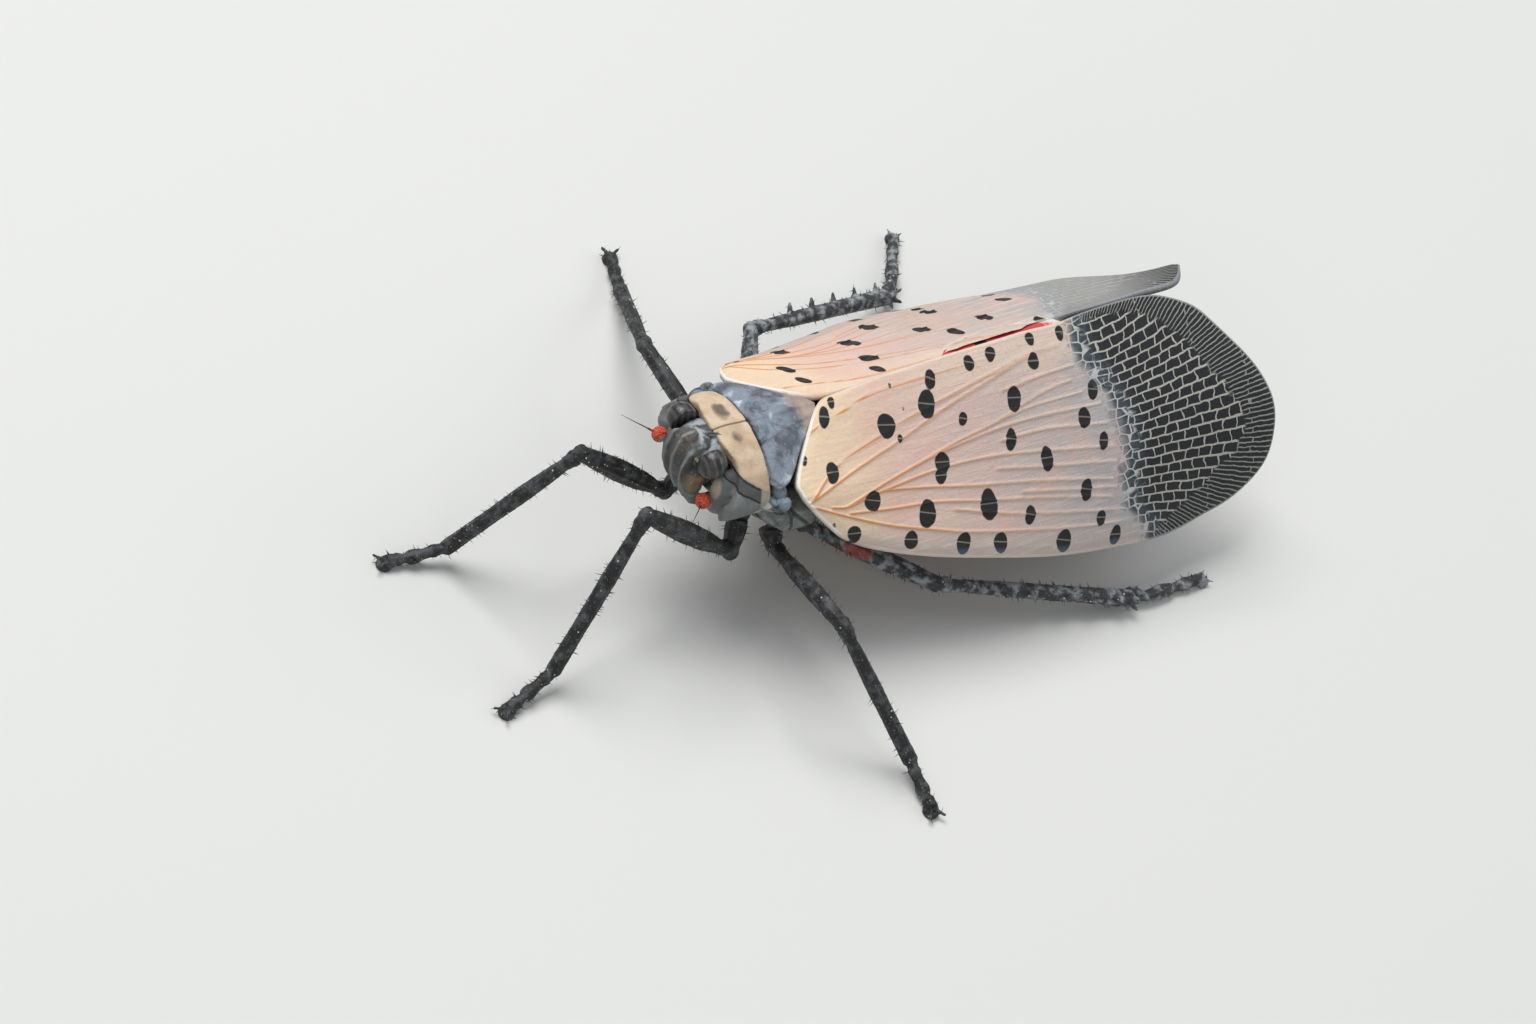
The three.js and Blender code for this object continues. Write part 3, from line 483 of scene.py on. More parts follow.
def bricks_on(across, breadth, length, line, bend):
    """Fine lines round long cells, 1 on a line and 0 in a cell."""
    spot = skin.node("ShaderNodeCombineXYZ", None, {
        0: u + (bend - .5) * .5 + 40.0, 1: across + (bend - .5) * .16 + 40.0, 2: 0.0})
    return skin.node("ShaderNodeTexBrick", {"offset": 0.5}, {
        "Vector": spot, "Scale": 1.0, "Mortar Size": line, "Mortar Smooth": .35,
        "Brick Width": length, "Row Height": breadth}, output="Fac")


def either(share, a, b):
    """Amount a where share is 0, amount b where it is 1."""
    return skin.node("ShaderNodeMix", {"data_type": "FLOAT"}, {0: share, 2: a, 3: b})


ladder = bricks_on(v, .30, .62, .018, skin.noise(there, 1.2, 2)) * u.rise(3.5, 7)
membrane = skin.mix(ladder * .30, membrane, ladder_pale)
line = vein.rise(.060, .022) * u.rise(12.4, 11.4)
line_colour = skin.mix(u.rise(1, 7.5), vein_root, vein_middle)
line_colour = skin.mix(u.rise(7, 11), line_colour, vein_outer)
colour = skin.mix(line * .9, membrane, line_colour)
# Black spots, each crossed by a fine pale line. Those at the front edge end in blue-grey.
spot = (ink + (fine - .5) * .05).rise(.02, -.02)
spot_colour = skin.mix(fine.rise(.5, .8) * .35, spot_black, spot_grain)
crossing = abs(cross).rise(.035, .012) * (1 - far * .8) * .55
spot_colour = skin.mix(crossing, spot_colour, spot_line)
spot_colour = skin.mix(v.rise(5.6, 6.4) * rim.rise(.42, .2) * .8, spot_colour, spot_slate)
colour = skin.mix(spot, colour, spot_colour)
# The net: round cells, then rows of long cells, then finer streaks near the outer edge.
jitter = skin.noise(there, 1.5, 2)
cells_at = skin.node("ShaderNodeCombineXYZ", None, {0: u * 2.3, 1: row * 3.1, 2: apart})
pebbles = skin.node("ShaderNodeTexVoronoi", {"feature": "DISTANCE_TO_EDGE"}, {
    "Vector": cells_at, "Scale": 1.0, "Randomness": .55}, output="Distance").rise(.10, .045)
bricks = bricks_on(row, .315, .60, .036, jitter)
reeds = bricks_on(reed, .2, 4.0, .034, skin.noise(there, 2.2, 2))
streaked_to = rim + (jitter - .5) * .9 - u.rise(13.0, 17.0) * 1.15
outer = streaked_to.rise(.48, .26) * net.rise(.4, 1.2)
strand = either((net + (jitter - .5) * 1.6).rise(.55, .95), pebbles, bricks)
strand = either(outer, strand, reeds)
pale = skin.mix(net.rise(.2, 1.6), net_grey, net_tan)
pale = skin.mix(outer * .75, pale, reed_grey)
cell = skin.mix(net.rise(1.5, -.1) * (fine.rise(.3, .7) * .4 + .35), cell_black, cell_blue)
# Painted sheen: the far (right) wing's black end is painted grey, as glancing light makes it look,
# so the two wing ends differ.
cell = skin.mix(far * net.rise(6.5, 2.5) * .85, cell, cell_far_sheen)
netted = skin.mix(strand, cell, pale)
black_end = (net + (jitter - .5) * 1.0).rise(-.25, .45)
netted = skin.mix(rim.rise(.10, .04) * .85, netted, rim_grey)
colour = skin.mix(black_end, colour, netted)
colour = skin.mix(rim.rise(.10, .05) * u.rise(.4, -.3) * .85, colour, rim_white)
colour = skin.mix(rim.rise(.13, .06) * u.rise(.4, 1.2) * (1 - black_end) * .5, colour,
                  rim_straw)
relief = (strand * black_end * .7 + streak * .6 * (1 - black_end) + fine * .5
          + ladder * .3 + skin.noise(there, 22, 2) * .2)
leather = skin.close(colour, .50 + fine * .22, relief, 0.00004)
for wing, node in wings:
    wing.data.materials.append(leather)
    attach(wing, "root")
    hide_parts(node)


# Hindwings. Thin red films folded into pleats, hinged behind the forewings and hidden under
# them. They have black spots, then a white band and a black end.

film_red, film_pink, film_black = (.52, .035, .04), (.62, .10, .08), (.015, .012, .012)
band_white, end_black = (.66, .62, .58), (.02, .018, .02)
red = Finish("hindwing", Specular_IOR_Level=0.3)
there = red.place()
grain = red.noise(there, 3.5, 4)
dots = red.node("ShaderNodeTexVoronoi", None, {"Vector": there, "Scale": .95},
                output="Distance")
back_to = red.split(there)[1] + grain * 1.2
colour = red.mix(grain * .5, film_red, film_pink)
colour = red.mix(dots.rise(.30, .24), colour, film_black)
colour = red.mix(back_to.rise(13.9, 14.3), colour, band_white)
colour = red.mix(back_to.rise(15.2, 15.6), colour, end_black)
film = red.close(colour, .55, grain + red.noise(there, 18, 2) * .4, 0.00003)
for name in ("hindwing_left", "hindwing_right"):
    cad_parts[name].data.materials.clear()
    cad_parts[name].data.materials.append(film)
# The right one's inner fold stands up into the slit between the forewings.
steps, breadth, film_wall = 40, 9, .06
fold_start, fold_length, fold_top, fold_breadth, end_drop = 5.3, 6.2, .12, 1.55, .3
s = np.repeat(np.linspace(0, 1, steps), breadth)
t = np.tile(np.linspace(0, 1, breadth), steps)
fold = on_wing(fold_start + fold_length * s, fold_top + fold_breadth * t, 0.0)
level_share = held(s / .12) * held((1 - s) / .08)
fold[:, 2] += .19 + .04 * np.cos(t * 14) - end_drop * (1 - level_share)
layers = np.concatenate([fold, fold - roof_normal * film_wall]) * [-1, 1, 1]
size = steps * breadth
cells = []
for i in range(steps - 1):
    for j in range(breadth - 1):
        a, b = i * breadth + j, (i + 1) * breadth + j
        cells.append((a, b, b + 1, a + 1))
        cells.append((size + a, size + a + 1, size + b + 1, size + b))
edge = rim_of(steps, breadth)
for a, b in zip(edge, edge[1:] + edge[:1]):
    cells.append((a, b, size + b, size + a))
piece = closed_piece("hindwing_fold", (layers + body_at) * mm, cells)
piece.data.materials.append(film)
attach(piece, "root")


# Legs. Six thin, hard, black-brown legs, each a hip set in the breast, a thigh, a ridged shin
# and a jointed foot. They are dusted with pale specks; the front and middle pairs also carry
# blue-grey patches of painted sheen, and the hind pair blue-grey wax over a red patch on each
# thigh.

def made_plain(piece):
    """Turns what a piece's modifiers make into its own mesh, and takes them off."""
    made = bpy.data.meshes.new_from_object(piece.evaluated_get(
        bpy.context.evaluated_depsgraph_get()))
    piece.modifiers.clear()
    piece.data = made
    return made


def read(mesh, what):
    """The places or the normals of a mesh's points."""
    values = np.zeros(len(mesh.vertices) * 3)
    mesh.vertices.foreach_get(what, values)
    return values.reshape(-1, 3)


def remade(name, nodes, voxel, rounds, balls=(), swell=0.0):
    """One fine, even copy of solids and filling balls, with its points' places in mm from
    the collar's hind edge and their ways out."""
    mesh = bpy.data.meshes.new(name)
    work = bmesh.new()
    for node in nodes:
        work.from_mesh(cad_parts[node].data)
    bmesh.ops.remove_doubles(work, verts=work.verts, dist=2e-6)
    bmesh.ops.scale(work, vec=(1 / mm,) * 3, verts=work.verts)
    work.normal_update()
    for corner in work.verts:
        corner.co += corner.normal * swell
    for centre, size in balls:
        bmesh.ops.create_icosphere(work, subdivisions=3, radius=1.0, matrix=Matrix.Translation(
            Vector(centre)) @ Matrix.Diagonal((*np.broadcast_to(size, 3), 1)))
    work.to_mesh(mesh)
    work.free()
    piece = placed(name + "_skin", mesh)
    evener = piece.modifiers.new("even", "REMESH")
    evener.mode, evener.voxel_size, evener.use_smooth_shade = "VOXEL", voxel, True
    ease = piece.modifiers.new("ease", "SMOOTH")
    ease.factor, ease.iterations = 0.5, rounds
    made = made_plain(piece)
    return piece, read(made, "co") - body_at, read(made, "normal")


def settle(piece, at, finish, slot, *nodes):
    """Puts a piece's points back in metres in the frame, and gives it its finish and body."""
    at = at + body_at
    at[:, 2] = np.maximum(at[:, 2], 0)
    piece.data.vertices.foreach_set("co", (at * mm).ravel())
    piece.data.update()
    piece.data.shade_smooth()
    piece.data.materials.clear()
    piece.data.materials.append(finish)
    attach(piece, "root")
    if nodes:
        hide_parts(*nodes)


shell_shade, pale_speck, thigh_red = (.034, .030, .029), (.50, .49, .45), (.26, .035, .025)
patch_out, patch_back, patch_below = 3.0, 4.9, 4.75


def leg_finish(name, shell, dust, share, red=0.0):
    """Hard shell under a share of pale patches, wax dust on the hind legs and painted sheen on the
    dark legs and beak, with as much red on the hind thighs as red says.
    """
    leg = Finish(name, Specular_IOR_Level=0.4)
    at = leg.place()
    grime = leg.noise(at, 2.4, 4)
    speck = leg.noise(at, 15, 2, 0.7)
    colour = leg.mix(grime.rise(.40, .72), shell, shell_shade)
    # Pale patches: wax dust on the hind legs, painted sheen on the dark legs and beak.
    colour = leg.mix(grime.rise(.44, .66) * share, colour, dust)
    colour = leg.mix(speck.rise(.66, .72) * .75, colour, pale_speck)
    x, y, z = leg.split(at)
    patch = (abs(x) - patch_out)**2 + (y - patch_back)**2 + (z + patch_below)**2
    colour = leg.mix((patch + grime * .5).rise(.85, .45) * red, colour, thigh_red)
    return leg.close(colour, .46 + grime * .3, grime * .5 + speck * .6, 0.00003)


# The dark legs' blue-grey patches are painted sheen, not dust.
dark_shell_with_sheen = leg_finish("leg_shell", (.011, .011, .012), (.10, .11, .12), .5)
waxy_shell = leg_finish("hind_leg_shell", (.032, .033, .036), (.30, .32, .34), .85, .75)
knee_sizes, knee_swell, knee_reach = (.25, .25, .2), .16, .5
ridge_height, ridge_hollow, ridge_end, ring_height, roughness = .035, .018, 0.7, .03, .006
foot_flat = .12
legs = []
for where in ("front_left", "front_right", "middle_left", "middle_right", "hind_left",
              "hind_right"):
    nodes = [f"{joint}_{where}" for joint in ("coxa", "femur", "tibia", "tarsus")]
    parts = [np.array([c.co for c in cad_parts[node].data.vertices]) * (1 / mm)
             for node in nodes]
    # Balls between the nearest ends of two solids make each knee.
    balls = []
    for a, b, size in zip(parts, parts[1:], knee_sizes):
        gap = np.linalg.norm(a[:, None] - b[None], axis=2)
        i, j = np.unravel_index(gap.argmin(), gap.shape)
        ca = a[np.linalg.norm(a - a[i], axis=1) < knee_reach].mean(0)
        cb = b[np.linalg.norm(b - b[j], axis=1) < knee_reach].mean(0)
        balls += [(ca + (cb - ca) * t, size * (1 + knee_swell * (t == .5)))
                  for t in (0, .25, .5, .75, 1)]
    piece, at, out = remade("leg_" + where, nodes, .038, 4, balls)
    # Each point is moved by the ridges of the joint that it lies nearest to.
    lowest = at[:, 2].min()
    shift = np.zeros(len(at))
    nearest = np.full(len(at), np.inf)
    for node, part in zip(nodes, parts):
        middle = part.mean(0) - body_at
        way = np.linalg.svd(part - body_at - middle, full_matrices=False)[2][0]
        half = np.abs((part - body_at - middle) @ way).max()
        side = np.cross(way, [0, 0, 1.0])
        side /= np.linalg.norm(side)
        rel = at - middle
        t = rel @ way
        off = np.linalg.norm(rel - np.clip(t, -half, half)[:, None] * way, axis=1)
        turn = np.arctan2(rel @ np.cross(side, way), rel @ side)
        end = held((half - np.abs(t)) / ridge_end)
        ridges = (ridge_height * np.abs(np.cos(2 * turn))**8
                  - ridge_hollow * np.cos(4 * turn)) * end
        rough = roughness * np.sin(9 * t + 3 * turn) * np.sin(5 * t - turn)
        if node.startswith("tarsus"):
            ridges = ring_height * np.cos(2 * np.pi * t / (half * .66)) * end
        shift = np.where(off < nearest, ridges + rough, shift)
        nearest = np.minimum(off, nearest)
    at = at + out * (shift * (at[:, 2] > lowest + foot_flat))[:, None]
    settle(piece, at, waxy_shell if where.startswith("hind") else dark_shell_with_sheen, "leg_dark", *nodes)
    legs.append(piece)


# Collar. The pronotum is one hard, pale, saddle-shaped plate across the neck, grown to the
# breast behind the head. It has two dark smudges, a thin middle line, and a grey lobe with a
# dark plate and a cream rim down each side.

collar_pale, collar_tan, smudge_brown = (.60, .47, .33), (.46, .33, .22), (.07, .055, .045)
line_brown, flank_grey, flank_pale = (.10, .06, .045), (.16, .17, .165), (.27, .29, .285)
plate_grey, plate_rim = (.085, .087, .088), (.014, .013, .013)
hem_cream, pore_pale = (.50, .43, .33), (.62, .60, .55)
# The side lobes are rounded out with balls: place and half size of each.
lobes = ((1.38, -.90, -2.12, (.42, .54, .55)), (1.42, -.98, -1.30, (.40, .56, .72)),
         (1.78, -.72, -1.95, (.42, .50, .62)))
piece, at, out = remade("pronotum", ["pronotum"], .045, 14, [
    (body_at + [side * px, py, pz], size) for side in (-1, 1) for px, py, pz, size in lobes])
x, y, z = at.T
groove_depth, dimple_depth, lip_height = 0.035, 0.05, 0.04
groove = -groove_depth * hump(x, .05) - dimple_depth * np.exp(
    -(((np.abs(x) - .62) / .22)**2 + ((y + .45) / .17)**2))
lip = lip_height * hump(y + .06, .09)
at = at + out * (groove + lip)[:, None]
at[:, 1] += .22 * held((y + .40) / .4) * held((z + 2.2) / .6)
tan = Finish("collar_cuticle", Specular_IOR_Level=0.35)
there = tan.place()
x, y, z = tan.split(there)
side = abs(x)
cloud, pore = tan.noise(there, 1.6, 3), tan.noise(there, 13, 3, .7)
colour = tan.mix(cloud.rise(.35, .7), collar_pale, collar_tan)
smudge = (((side - .62) / .44)**2 + ((y + .50) / .32)**2 + (cloud - .5) * 3.2).rise(1.1, -.1)
colour = tan.mix(smudge * .85, colour, smudge_brown)
colour = tan.mix(side.rise(.055, .02) * .8, colour, line_brown)
below = z + .92 + y * .55 + (cloud - .5) * .2
flank = below.rise(.06, -.06)
colour = tan.mix(flank, colour, flank_grey)
colour = tan.mix(flank * cloud.rise(.45, .62) * .6, colour, flank_pale)
plate = abs(below + .26)
colour = tan.mix(plate.rise(.24, .20), colour, plate_grey)
colour = tan.mix(abs(plate - .21).rise(.055, .02) * .9, colour, plate_rim)
hem = ((y + .02).rise(-.20, -.08) * z.rise(-2.2, -1.9)).most((y + 1.40).rise(.05, -.05))
colour = tan.mix(flank * hem * .75, colour, hem_cream)
colour = tan.mix(pore.rise(.62, .72) * .35, colour, pore_pale)
settle(piece, at, tan.close(colour, .55 + cloud * .2, cloud * .5 + pore * .8, 0.00004),
       "pronotum_tan", "pronotum")


# Shield between the wing roots. The mesonotum is a hard, slate-blue, triangular plate behind
# the collar, with three low keels and bright patches of bluish-white wax.

shield_dark, shield_slate, wax_blue = (.075, .085, .105), (.20, .235, .285), (.56, .64, .73)
shield_dust, tip_brown = (.42, .44, .46), (.40, .29, .22)
middle_keel, side_keel, dent_depth = 0.05, 0.055, 0.05
piece, at, out = remade("mesonotum", ["mesonotum"], .042, 8)
x, y, z = at.T
at[:, 1] += .40 * held((y - 1.5) / 1.1)
at[:, 0] += (.17 * np.sign(x) * held((np.abs(x) - .2) / .4)
             * held((y + .1) / .6) * held((2.3 - y) / .8))
keels = middle_keel * hump(x, .07) + side_keel * hump(np.abs(x) - .95 + .22 * y, .09)
dents = -dent_depth * np.exp(-(((np.abs(x) - .5) / .25)**2 + ((y - 1.0) / .5)**2))
at = at + out * ((keels + dents) * (out[:, 2] > .3))[:, None]
slate = Finish("shield_wax", Specular_IOR_Level=0.4)
there = slate.place()
back_to = slate.split(there)[1]
cloud, dust = slate.noise(there, 1.0, 4, .6, .5), slate.noise(there, 11, 3, .7)
colour = slate.mix(cloud.rise(.38, .56), shield_dark, shield_slate)
colour = slate.mix(cloud.rise(.56, .66) * .9, colour, wax_blue)
colour = slate.mix(dust.rise(.56, .7) * .4, colour, shield_dust)
colour = slate.mix((back_to + (cloud - .5) * .8).rise(1.9, 2.4) * .7, colour, tip_brown)
settle(piece, at, slate.close(colour, .48 + dust * .25, cloud * .6 + dust * .7, 0.00004),
       "mesonotum_slate", "mesonotum")


# Head. A hard, deep, dark capsule on a soft neck, with three pale keels down the face, a horn
# folded back on the crown, brownish-yellow cheeks and a dusting of grey wax.

head_black, head_grey, crown_blue = (.014, .013, .013), (.075, .075, .072), (.36, .40, .44)
horn_brown, face_green, keel_pale = (.10, .065, .045), (.13, .135, .13), (.30, .32, .29)
ocellus_amber, cheek_amber = (.62, .56, .44), (.30, .19, .09)
chin_grey, head_dust = (.20, .21, .20), (.42, .42, .39)
# Two balls round out the crown and the horn.
piece, at, out = remade("head", ["head"], .036, 5, [
    (body_at + [0, -1.30, -.55], (.98, .85, .52)), (body_at + [0, -1.75, -.35], (.62, .42, .42))])
x, y, z = at.T
face = held(-out[:, 1] * 1.6)
centre = 0.62 + .12 * np.clip(z + 1.6, -1, 1)
face_keel, cheek_keel, hollow_depth, socket_depth = 0.075, 0.085, 0.05, 0.05
keels = face_keel * hump(x, .055) + cheek_keel * hump(np.abs(x) - centre * .86, .06)
hollow = -hollow_depth * hump(np.abs(x) - centre * .42, .16)
ring = -socket_depth * np.exp(-(((np.abs(x) - .98) / .3)**2 + ((y + 1.82) / .2)**2
                        + ((z + 1.7) / .2)**2))
at = at + out * ((keels + hollow) * face * (z > -2.7) + ring)[:, None]
capsule = Finish("head_capsule", Specular_IOR_Level=0.4)
there = capsule.place()
x, y, z = capsule.split(there)
side = abs(x)
cloud, dust = capsule.noise(there, 2.0, 4), capsule.noise(there, 13, 3, .7)
colour = capsule.mix(cloud.rise(.4, .7), head_black, head_grey)
crown = z.rise(-.5, -.1) * y.rise(-2.1, -1.7)
colour = capsule.mix(crown * (cloud.rise(.42, .58) * .8 + .1), colour, crown_blue)
horn = side.rise(.34, .22) * y.rise(-1.75, -1.95) * z.rise(-.55, -.35)
colour = capsule.mix(horn * .8, colour, horn_brown)
front = (y + 2.0 + z * .28).rise(.25, -.15)
lines = side.rise(.09, .03).most(abs(side - .54).rise(.10, .03))
colour = capsule.mix(front * .35, colour, face_green)
colour = capsule.mix(front * lines * .6, colour, keel_pale)
ocellus = ((y + 1.99)**2 + (z + .50)**2).rise(.006, .003) * side.rise(.4, .5)
colour = capsule.mix(ocellus, colour, ocellus_amber)
cheek = side.rise(.62, .85) * z.rise(-2.2, -1.9) * z.rise(-.95, -1.15)
colour = capsule.mix(cheek * .75, colour, cheek_amber)
colour = capsule.mix(z.rise(-2.0, -3.2) * .5, colour, chin_grey)
colour = capsule.mix(dust.rise(.58, .70) * .6, colour, head_dust)
settle(piece, at, capsule.close(colour, .48 + dust * .25, cloud * .5 + dust * .8, 0.00004),
       "head_wax", "head")


# Eyes. Smooth, dark grey-brown domes let into the sides of the head, faceted very finely,
# with faint paler bands from top to bottom.

eye_dark, eye_band = (.016, .014, .014), (.075, .068, .064)
dark = Finish("eye_cornea", Specular_IOR_Level=0.6, Coat_Roughness=0.12, Coat_Weight=0.15)
there = dark.place()
x, y, z = dark.split(there)
band = ((y + z * .22) * 26).sine()
facet = dark.node("ShaderNodeTexVoronoi", None, {"Vector": there, "Scale": 24},
                  output="Distance")
colour = dark.mix(band.rise(-.2, .9) * .7, eye_dark, eye_band)
cornea = dark.close(colour, .36, facet, 0.000008)
for name in ("eye_left", "eye_right"):
    piece, at, out = remade(name, [name], .028, 16, swell=.05)
    settle(piece, at, cornea, "eye_dark", name)


# Feelers. Each is a short pale stalk in the cheek below the eye, a swollen orange-red bulb
# covered in granules, and a hair-thin bristle.

bulb_orange, bulb_red = (.86, .22, .09), (.50, .055, .03)
stalk_pale, bristle_brown = (.45, .40, .34), (.05, .03, .025)
orange = Finish("feeler_bulb", Specular_IOR_Level=0.35)
there = orange.place()
grains = orange.node("ShaderNodeTexVoronoi", None, {"Vector": there, "Scale": 15},
                     output="Distance")
x, y, z = orange.split(there)
near = (((abs(x) - 1.5) / .30)**2 + ((y + 1.82) / .30)**2 + ((z + 1.7) / .32)**2)
colour = orange.mix(grains.rise(.1, .55), bulb_orange, bulb_red)
colour = orange.mix(abs(x).rise(1.32, 1.24), colour, stalk_pale)
colour = orange.mix(near.rise(1.15, 1.5), colour, bristle_brown)
bulb = orange.close(colour, .55, 1 - grains, 0.00005)
middle, half_high, half_wide = np.array([1.5, -1.82, -1.7]), .29, .27
heading, lift = math.radians(40), math.radians(12)
way = np.array([math.sin(heading) * math.cos(lift), -math.cos(heading) * math.cos(lift),
                math.sin(lift)])
# Stalk, bulb and bristle: where each starts, its way, its radii along it, and its sides.
stalk = (np.array([1.28, -1.82, -1.7]), np.array([1.0, 0, 0]),
         [(0, .12), (.02, .19), (.08, .2), (.14, .17)], 20)
round_bulb = (middle - np.array([0, 0, half_high]), np.array([0, 0, 1.0]),
              [(half_high - half_high * math.cos(a), half_wide * math.sin(a))
               for a in np.linspace(.05, math.pi - .05, 26)], 40)
hair = (middle + way * .2, way,
        [(0, .06), (.1, .045), (.3, .022), (.8, .014), (1.28, .008)], 10)
for sign, name in ((1, "antenna_left"), (-1, "antenna_right")):
    points, cells = [], []
    for start, axis, profile, sides in (stalk, round_bulb, hair):
        helper = np.cross(axis, [0.3, 0.2, 0.93])
        helper /= np.linalg.norm(helper)
        other = np.cross(axis, helper)
        first = len(points)
        for t, r in profile:
            for k in range(sides):
                a = 2 * math.pi * k / sides
                points.append(start + axis * t + r * (helper * math.cos(a) + other * math.sin(a)))
        for i in range(len(profile) - 1):
            for k in range(sides):
                n = (k + 1) % sides
                cells.append((first + i * sides + k, first + i * sides + n,
                              first + (i + 1) * sides + n, first + (i + 1) * sides + k))
        cells.append(tuple(first + k for k in range(sides))[::-1])
        cells.append(tuple(first + (len(profile) - 1) * sides + k for k in range(sides)))
    places = np.array(points) * [sign, 1, 1]
    settle(closed_piece(name + "_skin", places, cells), places, bulb, "antenna_orange", name)


# Beak. The sucking mouth tube, hard, dark and ridged, hangs from the lower end of the face
# and lies back under the breast.

piece, at, out = remade("beak", ["beak"], .04, 4)
beak_ridge = 0.02
at = at + out * (beak_ridge * hump(at[:, 0], .04))[:, None]
# The beak shares the dark legs' finish, painted sheen included.
settle(piece, at, dark_shell_with_sheen, "leg_dark", "beak")


# Breast, wing-root scales and joint skin. The thorax is a box of hard grey-green plates with
# dark seams under wax, and a pale scale covers each wing root. Soft skin joins the plates.

breast_dark, breast_green, seam_dark = (.09, .10, .095), (.26, .28, .265), (.03, .03, .03)
breast_dust, scale_blue = (.42, .43, .41), (.17, .25, .30)
plates = Finish("breast_wax", Specular_IOR_Level=0.35)
there = plates.place()
x, y, z = plates.split(there)
cloud, dust = plates.noise(there, 1.3, 4, .6, .6), plates.noise(there, 12, 3, .7)
seam = plates.node("ShaderNodeTexVoronoi", {"feature": "DISTANCE_TO_EDGE"},
                   {"Vector": there, "Scale": .62}, output="Distance")
colour = plates.mix(cloud.rise(.36, .66), breast_dark, breast_green)
colour = plates.mix(seam.rise(.05, .02) * .8, colour, seam_dark)
colour = plates.mix(dust.rise(.54, .7) * .5, colour, breast_dust)
scale = abs(abs(x) - 2.6).rise(.5, .3) * z.rise(-1.95, -1.8) * abs(y - .7).rise(.5, .35)
colour = plates.mix(scale * cloud.rise(.4, .6) * .8, colour, scale_blue)
wax = plates.close(colour, .6 + dust * .2, seam.rise(.0, .08) + dust * .7, 0.00005)
piece, at, out = remade("thorax", ["thorax"], .055, 5)
wave = 0.03
at = at + out * (wave * np.sin(4 * at[:, 1] + at[:, 2] * 2) * np.cos(3 * at[:, 0]))[:, None]
settle(piece, at, wax, "thorax_wax", "thorax")
for name in ("tegula_left", "tegula_right"):
    piece, at, out = remade(name, [name], .03, 3)
    settle(piece, at, wax, "tegula_pale", name)
# The skin is all the plates swollen until they meet, then drawn in below their faces.
plated = ["head", "pronotum", "mesonotum", "thorax", "abdomen", "beak", "tegula_left",
          "tegula_right"] + [leg.name.replace("leg_", "coxa_").replace("_skin", "")
                             for leg in legs]
joint_swell, joint_depth = .21, .5
piece, at, out = remade("joint", plated, .09, 2, swell=joint_swell)
settle(piece, at - out * joint_depth, wax, "thorax_wax")


# Abdomen. Seven overlapping rings of tough skin behind the breast and under the wings,
# yellow with a broad black band on each.

first_ring, ring_length = 4.15, 1.32
ring_yellow, ring_amber, ring_black = (.62, .42, .08), (.50, .28, .06), (.03, .027, .026)
rings = Finish("abdomen_rings", Specular_IOR_Level=0.35)
there = rings.place()
back_to = rings.split(there)[1]
cloud = rings.noise(there, 2.5, 3)
step = ((back_to - first_ring) / ring_length + (cloud - .5) * .12).maths("FRACT")
colour = rings.mix(cloud * .6, ring_yellow, ring_amber)
colour = rings.mix(step.rise(.30, .36) * step.rise(.86, .80), colour, ring_black)
hide = rings.close(colour, .5, cloud + rings.noise(there, 14, 2) * .5, 0.00004)
piece, at, out = remade("abdomen", ["abdomen"], .07, 3)
settle(piece, at, hide, "abdomen_banded", "abdomen")


# Bristles and wax flakes. Fine dark bristles are rooted in the legs' hard skin, and small
# pale flakes of wax cling to it. One Geometry Nodes tree sets either of them on the legs.

def scatter_tree():
    """Sets one shape all over a surface, at random places, sizes within limits."""
    least, most = 0.5, 1.2
    tree = bpy.data.node_groups.new("set_on_surface", "GeometryNodeTree")
    for name, kind, value in (("Surface", "Geometry", None), ("Density", "Float", 1.0),
                              ("Size", "Float", 1.0), ("Seed", "Int", 1),
                              ("Shape", "Object", None), ("Finish", "Material", None)):
        socket = tree.interface.new_socket(name, in_out="INPUT",
                                           socket_type="NodeSocket" + kind)
        if value is not None:
            socket.default_value = value
    tree.interface.new_socket("Set", in_out="OUTPUT", socket_type="NodeSocketGeometry")
    new, link = tree.nodes.new, tree.links.new
    given, result = new("NodeGroupInput"), new("NodeGroupOutput")
    points = new("GeometryNodeDistributePointsOnFaces")
    shape = new("GeometryNodeObjectInfo")
    place = new("GeometryNodeInstanceOnPoints")
    vary = new("FunctionNodeRandomValue")
    size = new("ShaderNodeMath")
    size.operation = "MULTIPLY"
    vary.inputs[2].default_value, vary.inputs[3].default_value = least, most
    real, finish = new("GeometryNodeRealizeInstances"), new("GeometryNodeSetMaterial")
    for source, name, target, put in (
            (given, "Surface", points, "Mesh"), (given, "Density", points, "Density"),
            (given, "Seed", points, "Seed"), (points, "Points", place, "Points"),
            (points, "Rotation", place, "Rotation"), (given, "Shape", shape, "Object"),
            (shape, "Geometry", place, "Instance"), (place, "Instances", real, "Geometry"),
            (real, "Geometry", finish, "Geometry"), (given, "Finish", finish, "Material"),
            (finish, "Geometry", result, "Set")):
        link(source.outputs[name], target.inputs[put])
    link(given.outputs["Size"], size.inputs[0])
    link(vary.outputs[1], size.inputs[1])
    link(size.outputs[0], place.inputs["Scale"])
    link(given.outputs["Seed"], vary.inputs["Seed"])
    return tree


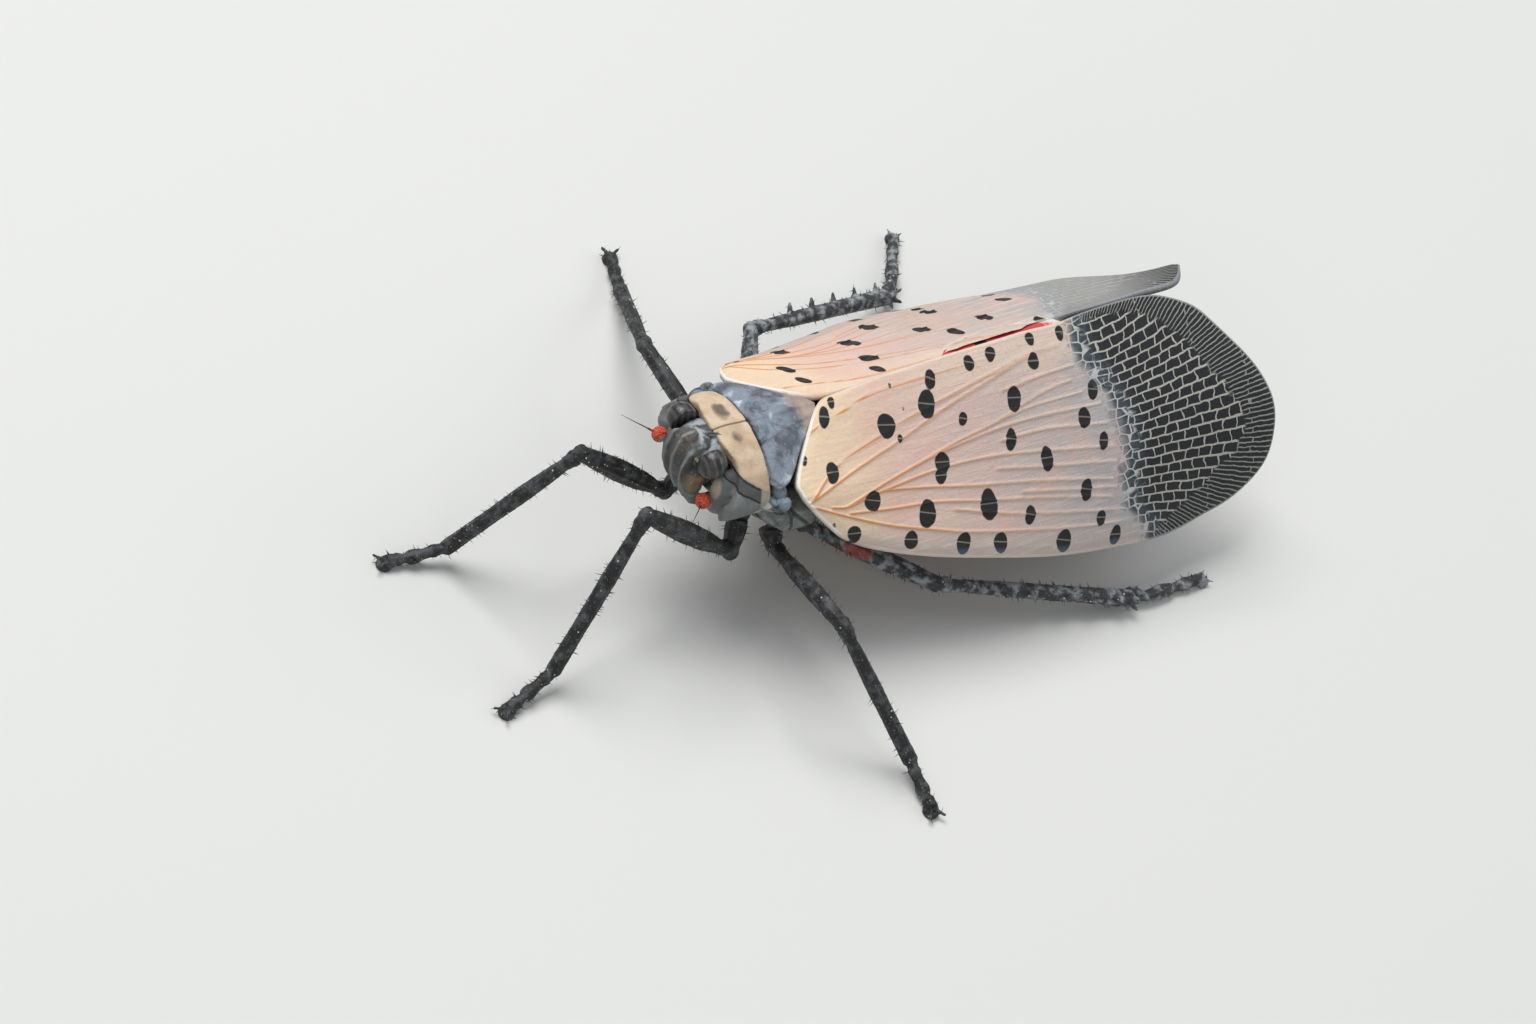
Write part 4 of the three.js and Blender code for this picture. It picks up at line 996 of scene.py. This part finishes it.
bristle_dark, bristle_pale = (.02, .016, .014), (.10, .08, .06)
flake_grey, flake_white = (.42, .42, .40), (.66, .66, .62)
bristle = Finish("bristle", Specular_IOR_Level=0.4)
tone = bristle.noise(bristle.place(), 4, 2)
bristle.close(bristle.mix(tone.rise(.4, .6), bristle_dark, bristle_pale), .5)
flake = Finish("wax_flake", Specular_IOR_Level=0.2)
tone = flake.noise(flake.place(), 5, 2)
flake.close(flake.mix(tone.rise(.4, .6), flake_grey, flake_white), .85)

# A bristle is a leaning three-sided spike and a flake a flat crumb: corners in mm, and faces.
shapes = {}
for name, corners, faces in (
        ("hair", [(.022, .0, -.02), (-.011, .019, -.02), (-.011, -.019, -.02), (.09, .0, .20)],
         [(0, 2, 1), (0, 1, 3), (1, 2, 3), (2, 0, 3)]),
        ("crumb", [(.05, 0, 0), (0, .04, .008), (-.05, .01, 0), (-.01, -.045, .006),
                   (0, 0, .028), (0, 0, -.022)],
         [(0, 1, 4), (1, 2, 4), (2, 3, 4), (3, 0, 4),
          (1, 0, 5), (2, 1, 5), (3, 2, 5), (0, 3, 5)])):
    mesh = bpy.data.meshes.new(name)
    mesh.from_pydata([tuple(c * mm for c in corner) for corner in corners], [], faces)
    shapes[name] = bpy.data.objects.new(name, mesh)

scatter = scatter_tree()
carriers = bpy.data.meshes.new("leg_surface")
work = bmesh.new()
for leg in legs:
    work.from_mesh(leg.data)
work.to_mesh(carriers)
work.free()
# Each set: its name, shape and finish, how many to a square metre, its size, and its seed.
for name, shape, finish, density, size, seed in (
        ("leg_bristles", "hair", bristle.material, 9e6, 1.0, 4),
        ("leg_wax_flakes", "crumb", flake.material, 1.6e6, .8, 9)):
    piece = placed(name, carriers.copy())
    setter = piece.modifiers.new("set", "NODES")
    setter.node_group = scatter
    values = {"Density": density, "Size": size, "Seed": seed, "Shape": shapes[shape],
              "Finish": finish}
    for socket in scatter.interface.items_tree:
        if socket.name in values:
            setter[socket.identifier] = values[socket.name]
    made = made_plain(piece)
    at = read(made, "co")
    at[:, 2] = np.maximum(at[:, 2], 0)
    made.vertices.foreach_set("co", at.ravel())
    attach(piece, "root")
